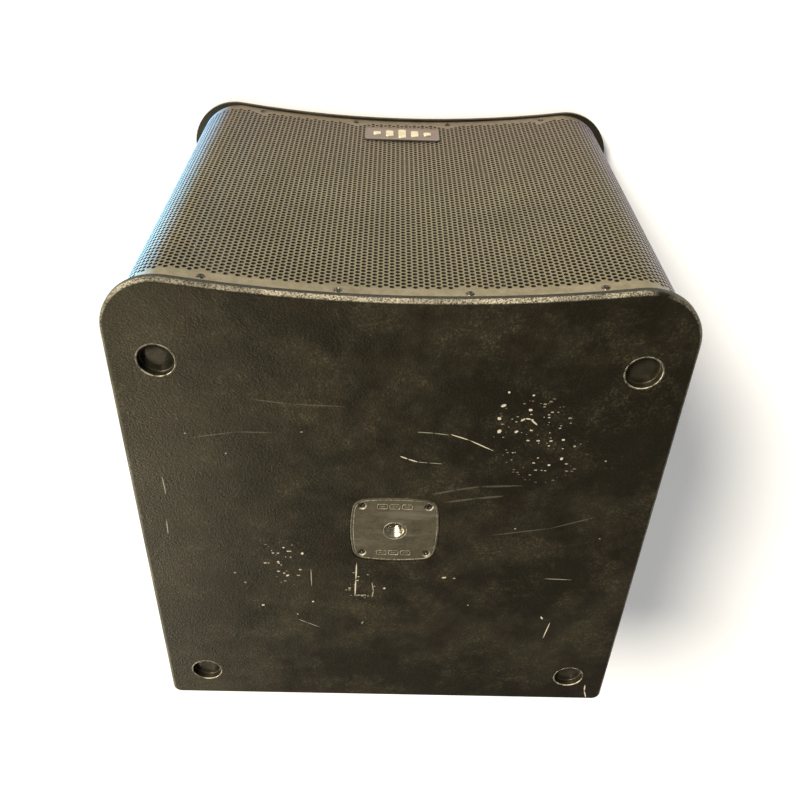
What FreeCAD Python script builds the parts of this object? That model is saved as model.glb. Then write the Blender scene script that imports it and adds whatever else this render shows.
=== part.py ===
import FreeCAD, Part
import math
import os
import re

import Sketcher

# Powered bass-reflex loudspeaker for low frequencies, standing on four rubber feet.
# Frame: +Z up, the floor at z = 0, the grille facing -Y, origin under the middle of the cabinet.

DIMENSIONS = [
    # cabinet
    ("cab_width", 620, "overall width"),
    ("cab_depth", 682, "overall depth"),
    ("cab_height", 540, "height of the box without its feet"),
    ("foot_height", 12, "rubber feet under the box"),
    ("ply", 18, "birch ply of the outer panels"),
    ("baffle_ply", 24, "thickness of the front baffle"),
    ("inner_ply", 15, "thickness of the port wall"),
    ("front_corner", 64, "plan radius of the two front corners"),
    ("front_setback", 17, "how far the middle of the concave front is set back"),
    ("rear_corner", 12, "plan radius of the two rear corners"),
    ("edge_round", 5, "roundover of the outer edges"),
    # grille
    ("lip", 10, "panel edge left above and below the grille"),
    ("grille_inset", 3.5, "grille face inside the panel outline"),
    ("grille_side", 7, "grille's bent ends further inside the panel outline"),
    ("grille_sheet", 1.5, "thickness of the grille steel"),
    ("grille_wrap", 73, "depth to which the grille wraps round the sides"),
    ("rail_height", 14, "height of the battens behind the grille's edges"),
    ("grille_screw_low", 21, "lower grille screws, above the box's bottom face"),
    ("grille_screw_high", 21, "upper grille screws, below the box's top face"),
    ("grille_screw_near", 67.5, "inner grille screws, from the middle"),
    ("grille_screw_far", 204.4, "outer grille screws, from the middle"),
    ("grille_screw_shank", 2, "radius"),
    ("grille_screw_head", 5, "radius"),
    ("badge_width", 107, "badge on the grille"),
    ("badge_height", 49, "badge on the grille"),
    ("badge_depth", 2.4, "badge thickness without its raised mark"),
    ("badge_level", 43.4, "badge's lower edge above the box's bottom face"),
    # stacking hardware
    ("cup_x", 257, "stacking cups and feet, from the middle"),
    ("cup_front", 97.7, "front cups and feet, from the front"),
    ("cup_rear", 53.4, "rear cups and feet, from the rear"),
    ("cup_outer", 21.5, "radius of the stacking cup"),
    ("cup_bore", 19.75, "radius inside the stacking cup"),
    ("cup_depth", 9, "depth of the stacking cup"),
    ("cup_floor", 2, "thickness of the cup's bottom"),
    ("foot_radius", 19, "radius of the rubber foot"),
    ("foot_tip", 17, "radius of the rubber foot where it stands"),
    # pole mount
    ("plate_half", 55, "half of the pole plate's width"),
    ("plate_corner", 18, "corner radius of the pole plate"),
    ("plate_bulge", 3, "how far each side of the pole plate bulges"),
    ("plate_pocket", 5, "depth of the pocket that the plate lies in"),
    ("plate_thick", 4.4, "thickness of the pole plate"),
    ("pole_bore", 8.75, "core radius of the M20 pole thread"),
    ("pole_boss", 21, "radius of the threaded boss"),
    ("pole_length", 34, "length of the pole thread"),
    ("plate_screw", 40, "plate screws, from the plate's middle"),
    # driver: radii from its axis, depths behind the baffle's face
    ("driver_x", 41, "driver axis, from the middle"),
    ("flange_radius", 228.5, "radius of the basket's flange"),
    ("flange_front", 8, "flange in front of the baffle"),
    ("cutout_radius", 211.5, "hole in the baffle"),
    ("driver_screw_circle", 221.5, "radius of the driver's screw circle"),
    ("cone_edge", 190, "radius of the paper cone"),
    ("coil_radius", 50, "inner radius of the voice coil former"),
    ("former_wall", 0.5, "thickness of the former"),
    ("coil_wall", 1, "thickness of the winding"),
    ("seat_depth", 128, "basket's rear face"),
    ("steel", 12, "thickness of the motor's front plate"),
    ("ferrite", 25, "thickness of the magnet ring"),
    ("ferrite_radius", 108, "radius of the magnet ring"),
    # port and brace
    ("port_width", 87, "clear width of the port"),
    ("port_length", 325, "length of the port wall"),
    ("brace_y", 24, "front face of the window brace"),
    ("window_margin", 70, "width of the brace round its window"),
    # handles
    ("handle_y", 150, "handle's middle"),
    ("handle_level", 288, "handle's middle above the box's bottom face"),
    ("handle_length", 180, "opening for the handle"),
    ("handle_opening", 110, "height of the opening"),
    ("handle_depth", 60, "depth of the handle pan"),
    ("handle_flange", 10, "width of the pan's flange"),
    ("pan_wall", 2.5, "thickness of the handle pan"),
    ("pan_flange", 3, "thickness of the handle pan's flange"),
    ("handle_screw", 17, "length of the handle screws"),
    ("handle_screw_sink", 1.2, "thickness of their sunk heads"),
    ("handle_head", 3.4, "radius"),
    ("handle_shank", 1.6, "radius"),
    ("grip_radius", 11, "radius of the grip bar"),
    ("grip_rise", 28, "grip bar above the pan's middle"),
    # amplifier
    ("amp_width", 300, "opening for the amplifier"),
    ("amp_height", 360, "opening for the amplifier"),
    ("amp_flange", 10, "width of the amplifier panel's flange"),
    ("amp_sheet", 2, "thickness of the amplifier panel"),
    ("amp_recess", 20, "depth of the dished amplifier panel"),
    ("chassis_depth", 110, "depth of the amplifier's chassis"),
]

doc = FreeCAD.newDocument("Subwoofer")
sheet = doc.addObject("Spreadsheet::Sheet", "sizes")
for row, (alias, number, note) in enumerate(DIMENSIONS, 1):
    sheet.set(f"A{row}", note)
    sheet.set(f"B{row}", str(number))
    sheet.setAlias(f"B{row}", alias)
doc.recompute()

ALIASES = {alias for alias, number, note in DIMENSIONS}
WORD = re.compile(r"[a-z_]+")
VECTOR = FreeCAD.Vector
TURN_TO_AXIS = {
    "x": FreeCAD.Rotation(VECTOR(0, 1, 0), 90),
    "y": FreeCAD.Rotation(VECTOR(1, 0, 0), -90),
    "z": FreeCAD.Rotation(),
}

# Expressions for places that many pieces share.
HALF_WIDTH = "(cab_width / 2)"
FRONT = "(-cab_depth / 2)"
REAR = "(cab_depth / 2)"
TOP = "(foot_height + cab_height)"
CEILING = "(foot_height + cab_height - ply)"
FLOOR = "(foot_height + ply)"
INNER_X = "(cab_width / 2 - ply)"
BAFFLE_FRONT = "(-cab_depth / 2 + front_corner)"
BAFFLE_REAR = "(-cab_depth / 2 + front_corner + baffle_ply)"
REAR_INSIDE = "(cab_depth / 2 - ply)"
MIDDLE_Z = "(foot_height + cab_height / 2)"
HANDLE_Z = "(foot_height + handle_level)"
AMP_OUTSIDE = "(cab_depth / 2 - amp_recess)"
AMP_INSIDE = "(cab_depth / 2 - amp_recess - amp_sheet)"
CHASSIS_FRONT = "(cab_depth / 2 - amp_recess - amp_sheet - chassis_depth)"

nodes = []


# ---------------------------------------------------------------- helpers
def expand(text):
    """Point each size name in an expression at the sheet."""
    return WORD.sub(lambda m: "sizes." + m.group(0) if m.group(0) in ALIASES else m.group(0), str(text))


def number(text):
    """The present value of an expression."""
    return float(sheet.evalExpression(expand(text)))


def bind(item, path, text):
    item.setExpression(path, expand(text))


def bind_place(item, x, y, z):
    for axis, text in zip("xyz", (x, y, z)):
        bind(item, f"Placement.Base.{axis}", text)


def node(item, label):
    """Register a finished sub-part under its own name."""
    item.Label = label
    nodes.append(item)
    return item


def box(name, x, y, z):
    """A block between two expressions along each axis."""
    item = doc.addObject("Part::Box", name)
    for side, (low, high) in zip(("Length", "Width", "Height"), (x, y, z)):
        bind(item, side, f"({high}) - ({low})")
    bind_place(item, x[0], y[0], z[0])
    return item


def rod(name, axis, x, y, z, radius, length):
    """A cylinder that starts at a point and runs along an axis."""
    item = doc.addObject("Part::Cylinder", name)
    bind(item, "Radius", radius)
    bind(item, "Height", length)
    item.Placement = FreeCAD.Placement(VECTOR(), TURN_TO_AXIS[axis])
    bind_place(item, x, y, z)
    return item


def taper(name, axis, x, y, z, radius, far_radius, length):
    """A cone that starts at a point and runs along an axis."""
    item = doc.addObject("Part::Cone", name)
    bind(item, "Radius1", radius)
    bind(item, "Radius2", far_radius)
    bind(item, "Height", length)
    item.Placement = FreeCAD.Placement(VECTOR(), TURN_TO_AXIS[axis])
    bind_place(item, x, y, z)
    return item


def fuse(name, *items):
    item = doc.addObject("Part::MultiFuse", name)
    item.Shapes = list(items)
    return item


def cut(name, base, *tools):
    item = doc.addObject("Part::Cut", name)
    item.Base = base
    item.Tool = tools[0] if len(tools) == 1 else fuse(name + "_tools", *tools)
    return item


def group(name, items):
    """Several separate solids in one sub-part."""
    item = doc.addObject("Part::Compound", name)
    item.Links = list(items)
    return item


def rounded_box(name, axis, radius, x, y, z):
    """A block whose four edges along one axis are rounded."""
    block = box(name + "_block", x, y, z)
    doc.recompute()
    along = {"x": VECTOR(1, 0, 0), "y": VECTOR(0, 1, 0), "z": VECTOR(0, 0, 1)}[axis]
    edges = []
    for index, edge in enumerate(block.Shape.Edges, 1):
        run = edge.Vertexes[1].Point - edge.Vertexes[0].Point
        if abs(run.normalize().dot(along)) > 0.99:
            edges.append((index, radius, radius))
    item = doc.addObject("Part::Fillet", name)
    item.Base = block
    item.Edges = edges
    return item


def new_body(name, x="0", y="0", z="0"):
    body = doc.addObject("PartDesign::Body", name)
    bind_place(body, x, y, z)
    return body


def new_sketch(body, role, height="0"):
    """A sketch on one of the body's own origin planes, raised by an expression."""
    sketch = body.newObject("Sketcher::SketchObject", body.Name + "_sketch")
    plane = [f for f in body.Origin.OriginFeatures if f.Role == role][0]
    sketch.AttachmentSupport = [(plane, "")]
    sketch.MapMode = "FlatFace"
    bind(sketch, "AttachmentOffset.Base.z", height)
    return sketch


def bind_point(sketch, curve, end, x, y):
    """Hold one end of a curve at two expressions."""
    for kind, text in (("DistanceX", x), ("DistanceY", y)):
        index = sketch.addConstraint(Sketcher.Constraint(kind, -1, 1, curve, end, number(text)))
        bind(sketch, f"Constraints[{index}]", text)


def draw_path(sketch, path):
    """A closed outline. A corner is (x, y); an arc to the next corner is (x, y, radius, via point)."""
    first = sketch.GeometryCount
    count = len(path)
    for index, corner in enumerate(path):
        following = path[(index + 1) % count]
        start = VECTOR(number(corner[0]), number(corner[1]), 0)
        end = VECTOR(number(following[0]), number(following[1]), 0)
        if len(corner) == 2:
            sketch.addGeometry(Part.LineSegment(start, end), False)
        else:
            sketch.addGeometry(Part.Arc(start, VECTOR(corner[3][0], corner[3][1], 0), end), False)
    for index, corner in enumerate(path):
        # An arc always runs counter-clockwise, so its start may be the outline's next corner.
        here, there = corner_ends(sketch, first + index, corner)
        following = (index + 1) % count
        after = first + following
        after_here = corner_ends(sketch, after, path[following])[0]
        sketch.addConstraint(Sketcher.Constraint("Coincident", first + index, there, after, after_here))
        bind_point(sketch, first + index, here, corner[0], corner[1])
        if len(corner) > 2:
            radius = sketch.addConstraint(Sketcher.Constraint("Radius", first + index, number(corner[2])))
            bind(sketch, f"Constraints[{radius}]", corner[2])


def corner_ends(sketch, curve, corner):
    """Which end of a curve lies on its own corner, and which on the next one."""
    start = sketch.getPoint(curve, 1)
    mine = VECTOR(number(corner[0]), number(corner[1]), 0)
    return (1, 2) if start.distanceToPoint(mine) < 0.01 else (2, 1)


def draw_circles(sketch, centres, radius):
    for x, y in centres:
        centre = VECTOR(number(x), number(y), 0)
        circle = Part.Circle(centre, VECTOR(0, 0, 1), number(radius))
        index = sketch.addGeometry(circle, False)
        bind_point(sketch, index, 3, x, y)
        size = sketch.addConstraint(Sketcher.Constraint("Radius", index, number(radius)))
        bind(sketch, f"Constraints[{size}]", radius)


def pad(body, sketch, length):
    feature = body.newObject("PartDesign::Pad", body.Name + "_pad")
    feature.Profile = sketch
    bind(feature, "Length", length)
    return feature


def pocket(body, sketch, length=None, both_ways=False):
    """Cut a sketch into the body, to a depth or right through, and make sure that it bites."""
    doc.recompute()
    before = body.Shape.Volume
    feature = body.newObject("PartDesign::Pocket", body.Name + "_pocket")
    feature.Profile = sketch
    feature.Midplane = both_ways
    if length is None:
        feature.Type = "ThroughAll"
    else:
        bind(feature, "Length", length)
    doc.recompute()
    if body.Shape.Volume > before - 1:
        feature.Reversed = True
        doc.recompute()
    if body.Shape.Volume > before - 1:
        raise RuntimeError(f"a pocket in {body.Name} cuts nothing")
    return feature


def turned(name, path):
    """A driver piece turned about its axis: x is the radius and y the depth behind the baffle's face."""
    body = new_body(name, "driver_x", BAFFLE_FRONT, MIDDLE_Z)
    sketch = new_sketch(body, "XY_Plane")
    draw_path(sketch, path)
    feature = body.newObject("PartDesign::Revolution", name + "_turn")
    feature.Profile = sketch
    feature.ReferenceAxis = (sketch, ["V_Axis"])
    feature.Angle = 360
    return body


def mirrored(side, low, high):
    """A span on one side of the middle plane."""
    return (low, high) if side > 0 else (f"-({high})", f"-({low})")


# ---------------------------------------------------------------- cabinet
# The front of the plan is one large arc that curves inwards and meets both corner circles smoothly.
CORNER_X = "(cab_width / 2 - front_corner)"
CORNER_Y = "(-cab_depth / 2 + front_corner)"


def reach(corner_x):
    """Radius from the front arc's centre to the corner centres, for corners at a given place across."""
    return f"(({corner_x}^2 + front_setback^2) / (2 * front_setback))"


def front_curve(inset, side="0"):
    """Corners of the front outline from the left side to the right one.

    The curve lies inside the outline by an inset; its two ends lie further inside by a side distance."""
    corner_x = f"({CORNER_X} - {side})"
    length = reach(corner_x)
    radius = f"(front_corner - {inset})"
    tangent_sin = f"({corner_x} / {length})"
    touch_x = f"({corner_x} - {radius} * {tangent_sin})"
    touch_y = f"({CORNER_Y} - {radius} * ({length} - front_setback) / {length})"
    side_x = f"({HALF_WIDTH} - {side} - {inset})"
    lean = (math.pi / 2 + math.asin(number(tangent_sin))) / 2
    via_x = number(corner_x) + number(radius) * math.cos(lean)
    via_y = number(CORNER_Y) - number(radius) * math.sin(lean)
    middle = number(f"{FRONT} + front_setback + {inset}")
    return [
        (f"-{side_x}", CORNER_Y, radius, (-via_x, via_y)),
        (f"-{touch_x}", touch_y, f"({length} - front_corner + {inset})", (0, middle)),
        (touch_x, touch_y, radius, (via_x, via_y)),
        (side_x, CORNER_Y),
    ]


# The grille's bent ends lie further in than the panels' corners.
SHEET_X = f"({HALF_WIDTH} - grille_side)"
SHEET_REACH = reach(f"({CORNER_X} - grille_side)")


def sheet_curve(inset):
    """The front outline of the grille's sheet at a distance inside the panel outline."""
    return front_curve(inset, "grille_side")


def rear_curve():
    """The rear outline from the right side to the left one, with its two small corners."""
    bend = number("rear_corner") * (1 - math.sqrt(0.5))
    via_x = number(HALF_WIDTH) - bend
    via_y = number(REAR) - bend
    return [
        (HALF_WIDTH, f"{REAR} - rear_corner", "rear_corner", (via_x, via_y)),
        (f"{HALF_WIDTH} - rear_corner", REAR),
        (f"-{HALF_WIDTH} + rear_corner", REAR, "rear_corner", (-via_x, via_y)),
        (f"-{HALF_WIDTH}", f"{REAR} - rear_corner"),
    ]


def cup_centres():
    rows = (f"{FRONT} + cup_front", f"{REAR} - cup_rear")
    return [(x, y) for y in rows for x in ("-cup_x", "cup_x")]


def squircle():
    """Outline of the pole plate: four corner arcs joined by four bulging sides."""
    flat = "(plate_half - plate_bulge)"
    end = "(plate_half - plate_corner)"
    bulge = f"(({end}^2 + plate_bulge^2) / (2 * plate_bulge))"
    corner = "plate_corner"
    inner = number("plate_half - plate_corner")
    spread = number("plate_half - plate_bulge") - inner
    # The corner arc is a circle of the corner radius through the ends of its two sides.
    chord = spread * math.sqrt(2)
    radius = number(corner)
    sagitta = radius - math.sqrt(radius**2 - (chord / 2) ** 2)
    via = inner + spread / 2 + sagitta / math.sqrt(2)
    half = number("plate_half")
    return [
        (flat, f"-{end}", bulge, (half, 0)),
        (flat, end, corner, (via, via)),
        (end, flat, bulge, (0, half)),
        (f"-{end}", flat, corner, (-via, via)),
        (f"-{flat}", end, bulge, (-half, 0)),
        (f"-{flat}", f"-{end}", corner, (-via, -via)),
        (f"-{end}", f"-{flat}", bulge, (0, -half)),
        (end, f"-{flat}", corner, (via, -via)),
    ]


def outer_panel(name):
    """Top or bottom panel, outer face up: a full lip over a stepped edge that the grille covers."""
    body = new_body(name)
    under = new_sketch(body, "XY_Plane")
    step = "(grille_inset + grille_sheet)"
    wrap = f"({FRONT} + grille_wrap)"
    front = sheet_curve(step)
    shoulders = [(f"{SHEET_X} - {step}", wrap), (HALF_WIDTH, wrap)]
    left = [(f"-{HALF_WIDTH}", wrap), (f"-{SHEET_X} + {step}", wrap)]
    draw_path(under, front + shoulders + rear_curve() + left)
    pad(body, under, "ply - lip")
    lip = new_sketch(body, "XY_Plane", "ply - lip")
    draw_path(lip, front_curve("0") + rear_curve())
    pad(body, lip, "lip")
    doc.recompute()
    face_z = number("ply")
    rim = [
        f"Edge{index}"
        for index, edge in enumerate(body.Shape.Edges, 1)
        if all(abs(vertex.Z - face_z) < 0.01 for vertex in edge.Vertexes)
    ]
    slab = body.Tip
    feature = body.newObject("PartDesign::Fillet", name + "_roundover")
    feature.Base = (slab, rim)
    bind(feature, "Radius", "edge_round")
    return body


def top_panel():
    body = outer_panel("top_panel")
    bind(body, "Placement.Base.z", CEILING)
    cups = new_sketch(body, "XY_Plane", "ply")
    draw_circles(cups, cup_centres(), "cup_outer")
    pocket(body, cups, "cup_depth + cup_floor")
    recess = new_sketch(body, "XY_Plane", "ply")
    draw_path(recess, squircle())
    pocket(body, recess, "plate_pocket")
    boss = new_sketch(body, "XY_Plane", "ply")
    draw_circles(boss, [("0", "0")], "pole_boss")
    pocket(body, boss, both_ways=True)
    screws = new_sketch(body, "XY_Plane", "ply")
    draw_circles(screws, plate_screw_centres(), "2.5")
    pocket(body, screws, "ply - 1")
    return node(body, "top_panel")


def bottom_panel():
    body = outer_panel("bottom_panel")
    body.Placement = FreeCAD.Placement(VECTOR(), FreeCAD.Rotation(VECTOR(0, 1, 0), 180))
    bind_place(body, "0", "0", FLOOR)
    screws = new_sketch(body, "XY_Plane", "ply")
    draw_circles(screws, cup_centres(), "2.2")
    pocket(body, screws, "ply - 2")
    return node(body, "bottom_panel")


def side_panel(side, name):
    """A side panel: grille step in front, rounded rear edge, handle opening and rebate."""
    body = new_body(name + "_body", z=FLOOR)
    sketch = new_sketch(body, "XY_Plane")
    step = "(grille_inset + grille_sheet)"
    bend = number("rear_corner") * (1 - math.sqrt(0.5))
    via = (number(HALF_WIDTH) - bend, number(REAR) - bend)
    outline = [
        (INNER_X, BAFFLE_FRONT),
        (f"{SHEET_X} - {step}", BAFFLE_FRONT),
        (f"{SHEET_X} - {step}", f"{FRONT} + grille_wrap"),
        (HALF_WIDTH, f"{FRONT} + grille_wrap"),
        (HALF_WIDTH, f"{REAR} - rear_corner", "rear_corner", via),
        (f"{HALF_WIDTH} - rear_corner", REAR),
        (INNER_X, REAR),
    ]
    if side < 0:
        outline = mirror_outline(outline)
    draw_path(sketch, outline)
    pad(body, sketch, "cab_height - 2 * ply")
    opening = rounded_box(
        name + "_opening",
        "x",
        14,
        mirrored(side, f"{INNER_X} - 1", f"{HALF_WIDTH} + 1"),
        ("handle_y - handle_length / 2", "handle_y + handle_length / 2"),
        (f"{HANDLE_Z} - handle_opening / 2", f"{HANDLE_Z} + handle_opening / 2"),
    )
    rebate = handle_flange(side, name + "_rebate", 1)
    start = mirrored(side, f"{HALF_WIDTH} - handle_screw", f"{HALF_WIDTH} - pan_flange")[0]
    pilots = [
        rod(f"{name}_pilot_{index}", "x", start, y, z, "handle_shank", "handle_screw - pan_flange")
        for index, (y, z) in enumerate(handle_screw_places())
    ]
    return node(cut(name, body, opening, rebate, *pilots), name)


def mirror_outline(outline):
    """The outline on the other side of the middle plane. Each arc moves to the corner it now starts from."""
    flipped = []
    count = len(outline)
    for index in range(count - 1, -1, -1):
        x, y = outline[index][:2]
        before = outline[(index - 1) % count]
        if len(before) > 2:
            flipped.append((f"-({x})", y, before[2], (-before[3][0], before[3][1])))
        else:
            flipped.append((f"-({x})", y))
    return flipped


def rear_panel():
    board = box("rear_board", (f"-{INNER_X}", INNER_X), (REAR_INSIDE, REAR), (FLOOR, CEILING))
    opening = box(
        "rear_opening",
        ("-amp_width / 2", "amp_width / 2"),
        (f"{REAR_INSIDE} - 1", f"{REAR} + 1"),
        (f"{MIDDLE_Z} - amp_height / 2", f"{MIDDLE_Z} + amp_height / 2"),
    )
    rebate = amp_flange("rear_rebate", 1)
    pilots = [
        rod(f"amp_pilot_{index}", "y", x, f"{REAR} - 17", z, "1.8", "17")
        for index, (x, z) in enumerate(amp_screw_places())
    ]
    return node(cut("rear_panel", board, opening, rebate, *pilots), "rear_panel")


def port_wall_inside():
    """The face of the port wall that the driver's side of the cabinet sees."""
    return f"(-{INNER_X} + port_width + inner_ply)"


def front_baffle():
    inside = port_wall_inside()
    board = box("baffle_board", (inside, INNER_X), (BAFFLE_FRONT, BAFFLE_REAR), (FLOOR, CEILING))
    before = f"{BAFFLE_FRONT} - 1"
    opening = rod("baffle_opening", "y", "driver_x", before, MIDDLE_Z, "cutout_radius", "baffle_ply + 2")
    pilots = [
        rod(f"driver_pilot_{index}", "y", x, BAFFLE_FRONT, z, "2.4", "20")
        for index, (x, z) in enumerate(driver_screw_places())
    ]
    return node(cut("front_baffle", board, opening, *pilots), "front_baffle")


def port_wall():
    wall = box(
        "port_wall",
        (f"-{INNER_X} + port_width", port_wall_inside()),
        (BAFFLE_FRONT, f"{BAFFLE_FRONT} + port_length"),
        (FLOOR, CEILING),
    )
    return node(wall, "port_wall")


def window_brace():
    """A board across the cabinet behind the driver, with a large rounded window."""
    inside = port_wall_inside()
    board = box("brace_board", (inside, INNER_X), ("brace_y", "brace_y + ply"), (FLOOR, CEILING))
    window = rounded_box(
        "brace_window",
        "y",
        40,
        (f"{inside} + window_margin", f"{INNER_X} - window_margin"),
        ("brace_y - 1", "brace_y + ply + 1"),
        (f"{FLOOR} + window_margin", f"{CEILING} - window_margin"),
    )
    return node(cut("window_brace", board, window), "window_brace")


# ---------------------------------------------------------------- grille
def grille_screw_places():
    """Place of each grille screw across the front, and its level."""
    levels = ("foot_height + grille_screw_low", f"{TOP} - grille_screw_high")
    places = []
    for level in levels:
        for offset in ("grille_screw_near", "grille_screw_far"):
            for sign in ("-", ""):
                places.append((f"{sign}{offset}", level))
    return places


def grille_face(x, inset):
    """Depth of the concave front at a distance from the middle, for a surface moved inwards by an inset."""
    curve = f"({SHEET_REACH} - front_corner + {inset})"
    centre = f"({FRONT} + front_setback - ({SHEET_REACH} - front_corner))"
    return f"({centre} + sqrt({curve}^2 - ({x})^2))"


def grille_rail(name, low):
    """A batten that follows the front curve and carries one edge of the grille."""
    body = new_body(name + "_body", z=low)
    sketch = new_sketch(body, "XY_Plane")
    draw_path(sketch, sheet_curve("(grille_inset + grille_sheet)"))
    pad(body, sketch, "rail_height")
    holes = []
    for index, (x, z) in enumerate(grille_screw_places()):
        start = grille_face(x, "(grille_inset + grille_sheet)") + " - 2"
        holes.append(rod(f"{name}_pilot_{index}", "y", x, start, z, "grille_screw_shank", "20"))
    return node(cut(name, body, *holes), name)


def grille():
    """The curved steel sheet. Its perforation leaves the outer shape as it is."""
    body = new_body("grille", z="foot_height + lip")
    sketch = new_sketch(body, "XY_Plane")
    outer = sheet_curve("grille_inset")
    inner = sheet_curve("(grille_inset + grille_sheet)")
    wrap = f"({FRONT} + grille_wrap)"
    back = []
    count = len(inner)
    for index in range(count - 1, -1, -1):
        before = inner[index - 1] if index else ("", "")
        corner = inner[index][:2]
        back.append(corner + before[2:] if len(before) > 2 else corner)
    ends = [
        (f"{SHEET_X} - grille_inset", wrap),
        (f"{SHEET_X} - grille_inset - grille_sheet", wrap),
    ]
    far_ends = [
        (f"-{SHEET_X} + grille_inset + grille_sheet", wrap),
        (f"-{SHEET_X} + grille_inset", wrap),
    ]
    draw_path(sketch, outer + ends + back + far_ends)
    pad(body, sketch, "cab_height - 2 * lip")
    holes = new_sketch(body, "XZ_Plane")
    centres = [(x, f"{z} - foot_height - lip") for x, z in grille_screw_places()]
    draw_circles(holes, centres, "grille_screw_shank")
    pocket(body, holes, both_ways=True)
    return node(body, "grille")


def grille_screws():
    screws = []
    head_height = 2.4
    for index, (x, z) in enumerate(grille_screw_places()):
        # The outer screws sit where the sheet slants, so their heads stand a little further out.
        lift = 0.2 if "near" in x else 0.7
        face = f"{grille_face(x, 'grille_inset')} - {lift}"
        front = f"{face} - {head_height}"
        head = rod(f"screw_head_{index}", "y", x, front, z, "grille_screw_head", head_height)
        shank = rod(f"screw_shank_{index}", "y", x, f"{face} - 0.5", z, "grille_screw_shank", "17")
        screws.append(fuse(f"grille_screw_{index}", head, shank))
    return node(group("grille_screws", screws), "grille_screws")


def badge_outline(name, inset, low, high):
    """A rounded block that trims a curved band to the badge's outline."""
    middle = "(foot_height + badge_level + badge_height / 2)"
    return rounded_box(
        name,
        "y",
        5,
        (f"-badge_width / 2 + {inset}", f"badge_width / 2 - {inset}"),
        (low, high),
        (f"{middle} - badge_height / 2 + {inset}", f"{middle} + badge_height / 2 - {inset}"),
    )


def curved_slice(name, trim, near, far):
    """The part of a block between two surfaces that follow the concave front."""
    centre = f"({FRONT} + front_setback - ({SHEET_REACH} - front_corner))"
    curve = f"({SHEET_REACH} - front_corner)"
    outside = rod(name + "_far", "z", "0", centre, "0", f"{curve} + {far}", "200")
    inside = rod(name + "_near", "z", "0", centre, "0", f"{curve} + {near}", "200")
    ring = cut(name + "_ring", outside, inside)
    item = doc.addObject("Part::Common", name)
    item.Base = trim
    item.Tool = ring
    return item


def badge():
    trim = badge_outline("badge_trim", "0", FRONT, f"{FRONT} + 40")
    plate = curved_slice("badge", trim, "(grille_inset - badge_depth)", "grille_inset")
    return node(plate, "badge")


def badge_mark():
    """A plain level-meter mark: five upright bars of different height."""
    heights = (12, 22, 32, 22, 12)
    pitch = 18
    half = 5.5
    raised = 0.8
    middle = "(foot_height + badge_level + badge_height / 2)"
    bars = []
    for index, height in enumerate(heights):
        x = (index - 2) * pitch
        block = rounded_box(
            f"mark_bar_{index}",
            "y",
            2.5,
            (f"{x - half}", f"{x + half}"),
            (FRONT, f"{FRONT} + 40"),
            (f"{middle} - {height / 2}", f"{middle} + {height / 2}"),
        )
        back = "(grille_inset - badge_depth)"
        bars.append(curved_slice(f"mark_{index}", block, f"({back} - {raised})", back))
    return node(group("badge_mark", bars), "badge_mark")


# ---------------------------------------------------------------- stacking and pole hardware
def plate_screw_centres():
    return [(f"{a}plate_screw", f"{b}plate_screw") for a in ("-", "") for b in ("-", "")]


def pole_mount_plate():
    """A bulging square plate with a long threaded boss under it."""
    body = new_body("pole_mount_body", z=f"{TOP} - plate_pocket")
    outline = new_sketch(body, "XY_Plane")
    draw_path(outline, squircle())
    pad(body, outline, "plate_thick")
    face = f"{TOP} - plate_pocket + plate_thick"
    boss = rod("pole_boss_body", "z", "0", "0", f"{face} - pole_length", "pole_boss", "pole_length - 1")
    collar = rod("pole_collar", "z", "0", "0", f"{face} - 0.5", "26", "1")
    bore = rod("pole_bore_hole", "z", "0", "0", f"{face} - pole_length - 1", "pole_bore", "pole_length + 3")
    mouth = taper("pole_mouth", "z", "0", "0", f"{face} - 2", "pole_bore", "pole_bore + 3", "3")
    whole = fuse("pole_mount_blank", body, boss, collar)
    sinks = []
    for index, (x, y) in enumerate(plate_screw_centres()):
        sinks.append(rod(f"plate_hole_{index}", "z", x, y, f"{face} - 6", "2.5", "7"))
        sinks.append(taper(f"plate_sink_{index}", "z", x, y, f"{face} - 3", "2.5", "5.5", "3"))
    return node(cut("pole_mount_plate", whole, bore, mouth, *sinks), "pole_mount_plate")


def pole_mount_screws():
    face = f"({TOP} - plate_pocket + plate_thick)"
    screws = []
    for index, (x, y) in enumerate(plate_screw_centres()):
        head = taper(f"plate_screw_head_{index}", "z", x, y, f"{face} - 3", "2.5", "5.5", "3")
        shank = rod(f"plate_screw_shank_{index}", "z", x, y, f"{face} - 16", "2.5", "13.5")
        drive = rod(f"plate_screw_drive_{index}", "z", x, y, f"{face} - 1.6", "1.9", "3")
        screws.append(cut(f"plate_screw_whole_{index}", fuse(f"plate_screw_{index}", head, shank), drive))
    return node(group("pole_mount_screws", screws), "pole_mount_screws")


def stacking_cups():
    """Moulded cups sunk into the top, where the feet of a second cabinet stand."""
    cups = []
    low = f"({TOP} - cup_depth - cup_floor)"
    for index, (x, y) in enumerate(cup_centres()):
        shell = rod(f"cup_shell_{index}", "z", x, y, low, "cup_outer", "cup_depth + cup_floor")
        hollow = rod(f"cup_hollow_{index}", "z", x, y, f"{low} + cup_floor", "cup_bore", "cup_depth + 1")
        cups.append(cut(f"cup_{index}", shell, hollow))
    return node(group("stacking_cups", cups), "stacking_cups")


def rubber_feet():
    feet = []
    for index, (x, y) in enumerate(cup_centres()):
        foot = taper(f"foot_block_{index}", "z", x, y, "0", "foot_tip", "foot_radius", "foot_height")
        well = rod(f"foot_well_{index}", "z", x, y, "-1", "8", "6")
        hole = rod(f"foot_hole_{index}", "z", x, y, "0", "2.2", "foot_height + 1")
        feet.append(cut(f"foot_{index}", foot, well, hole))
    return node(group("rubber_feet", feet), "rubber_feet")


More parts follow.
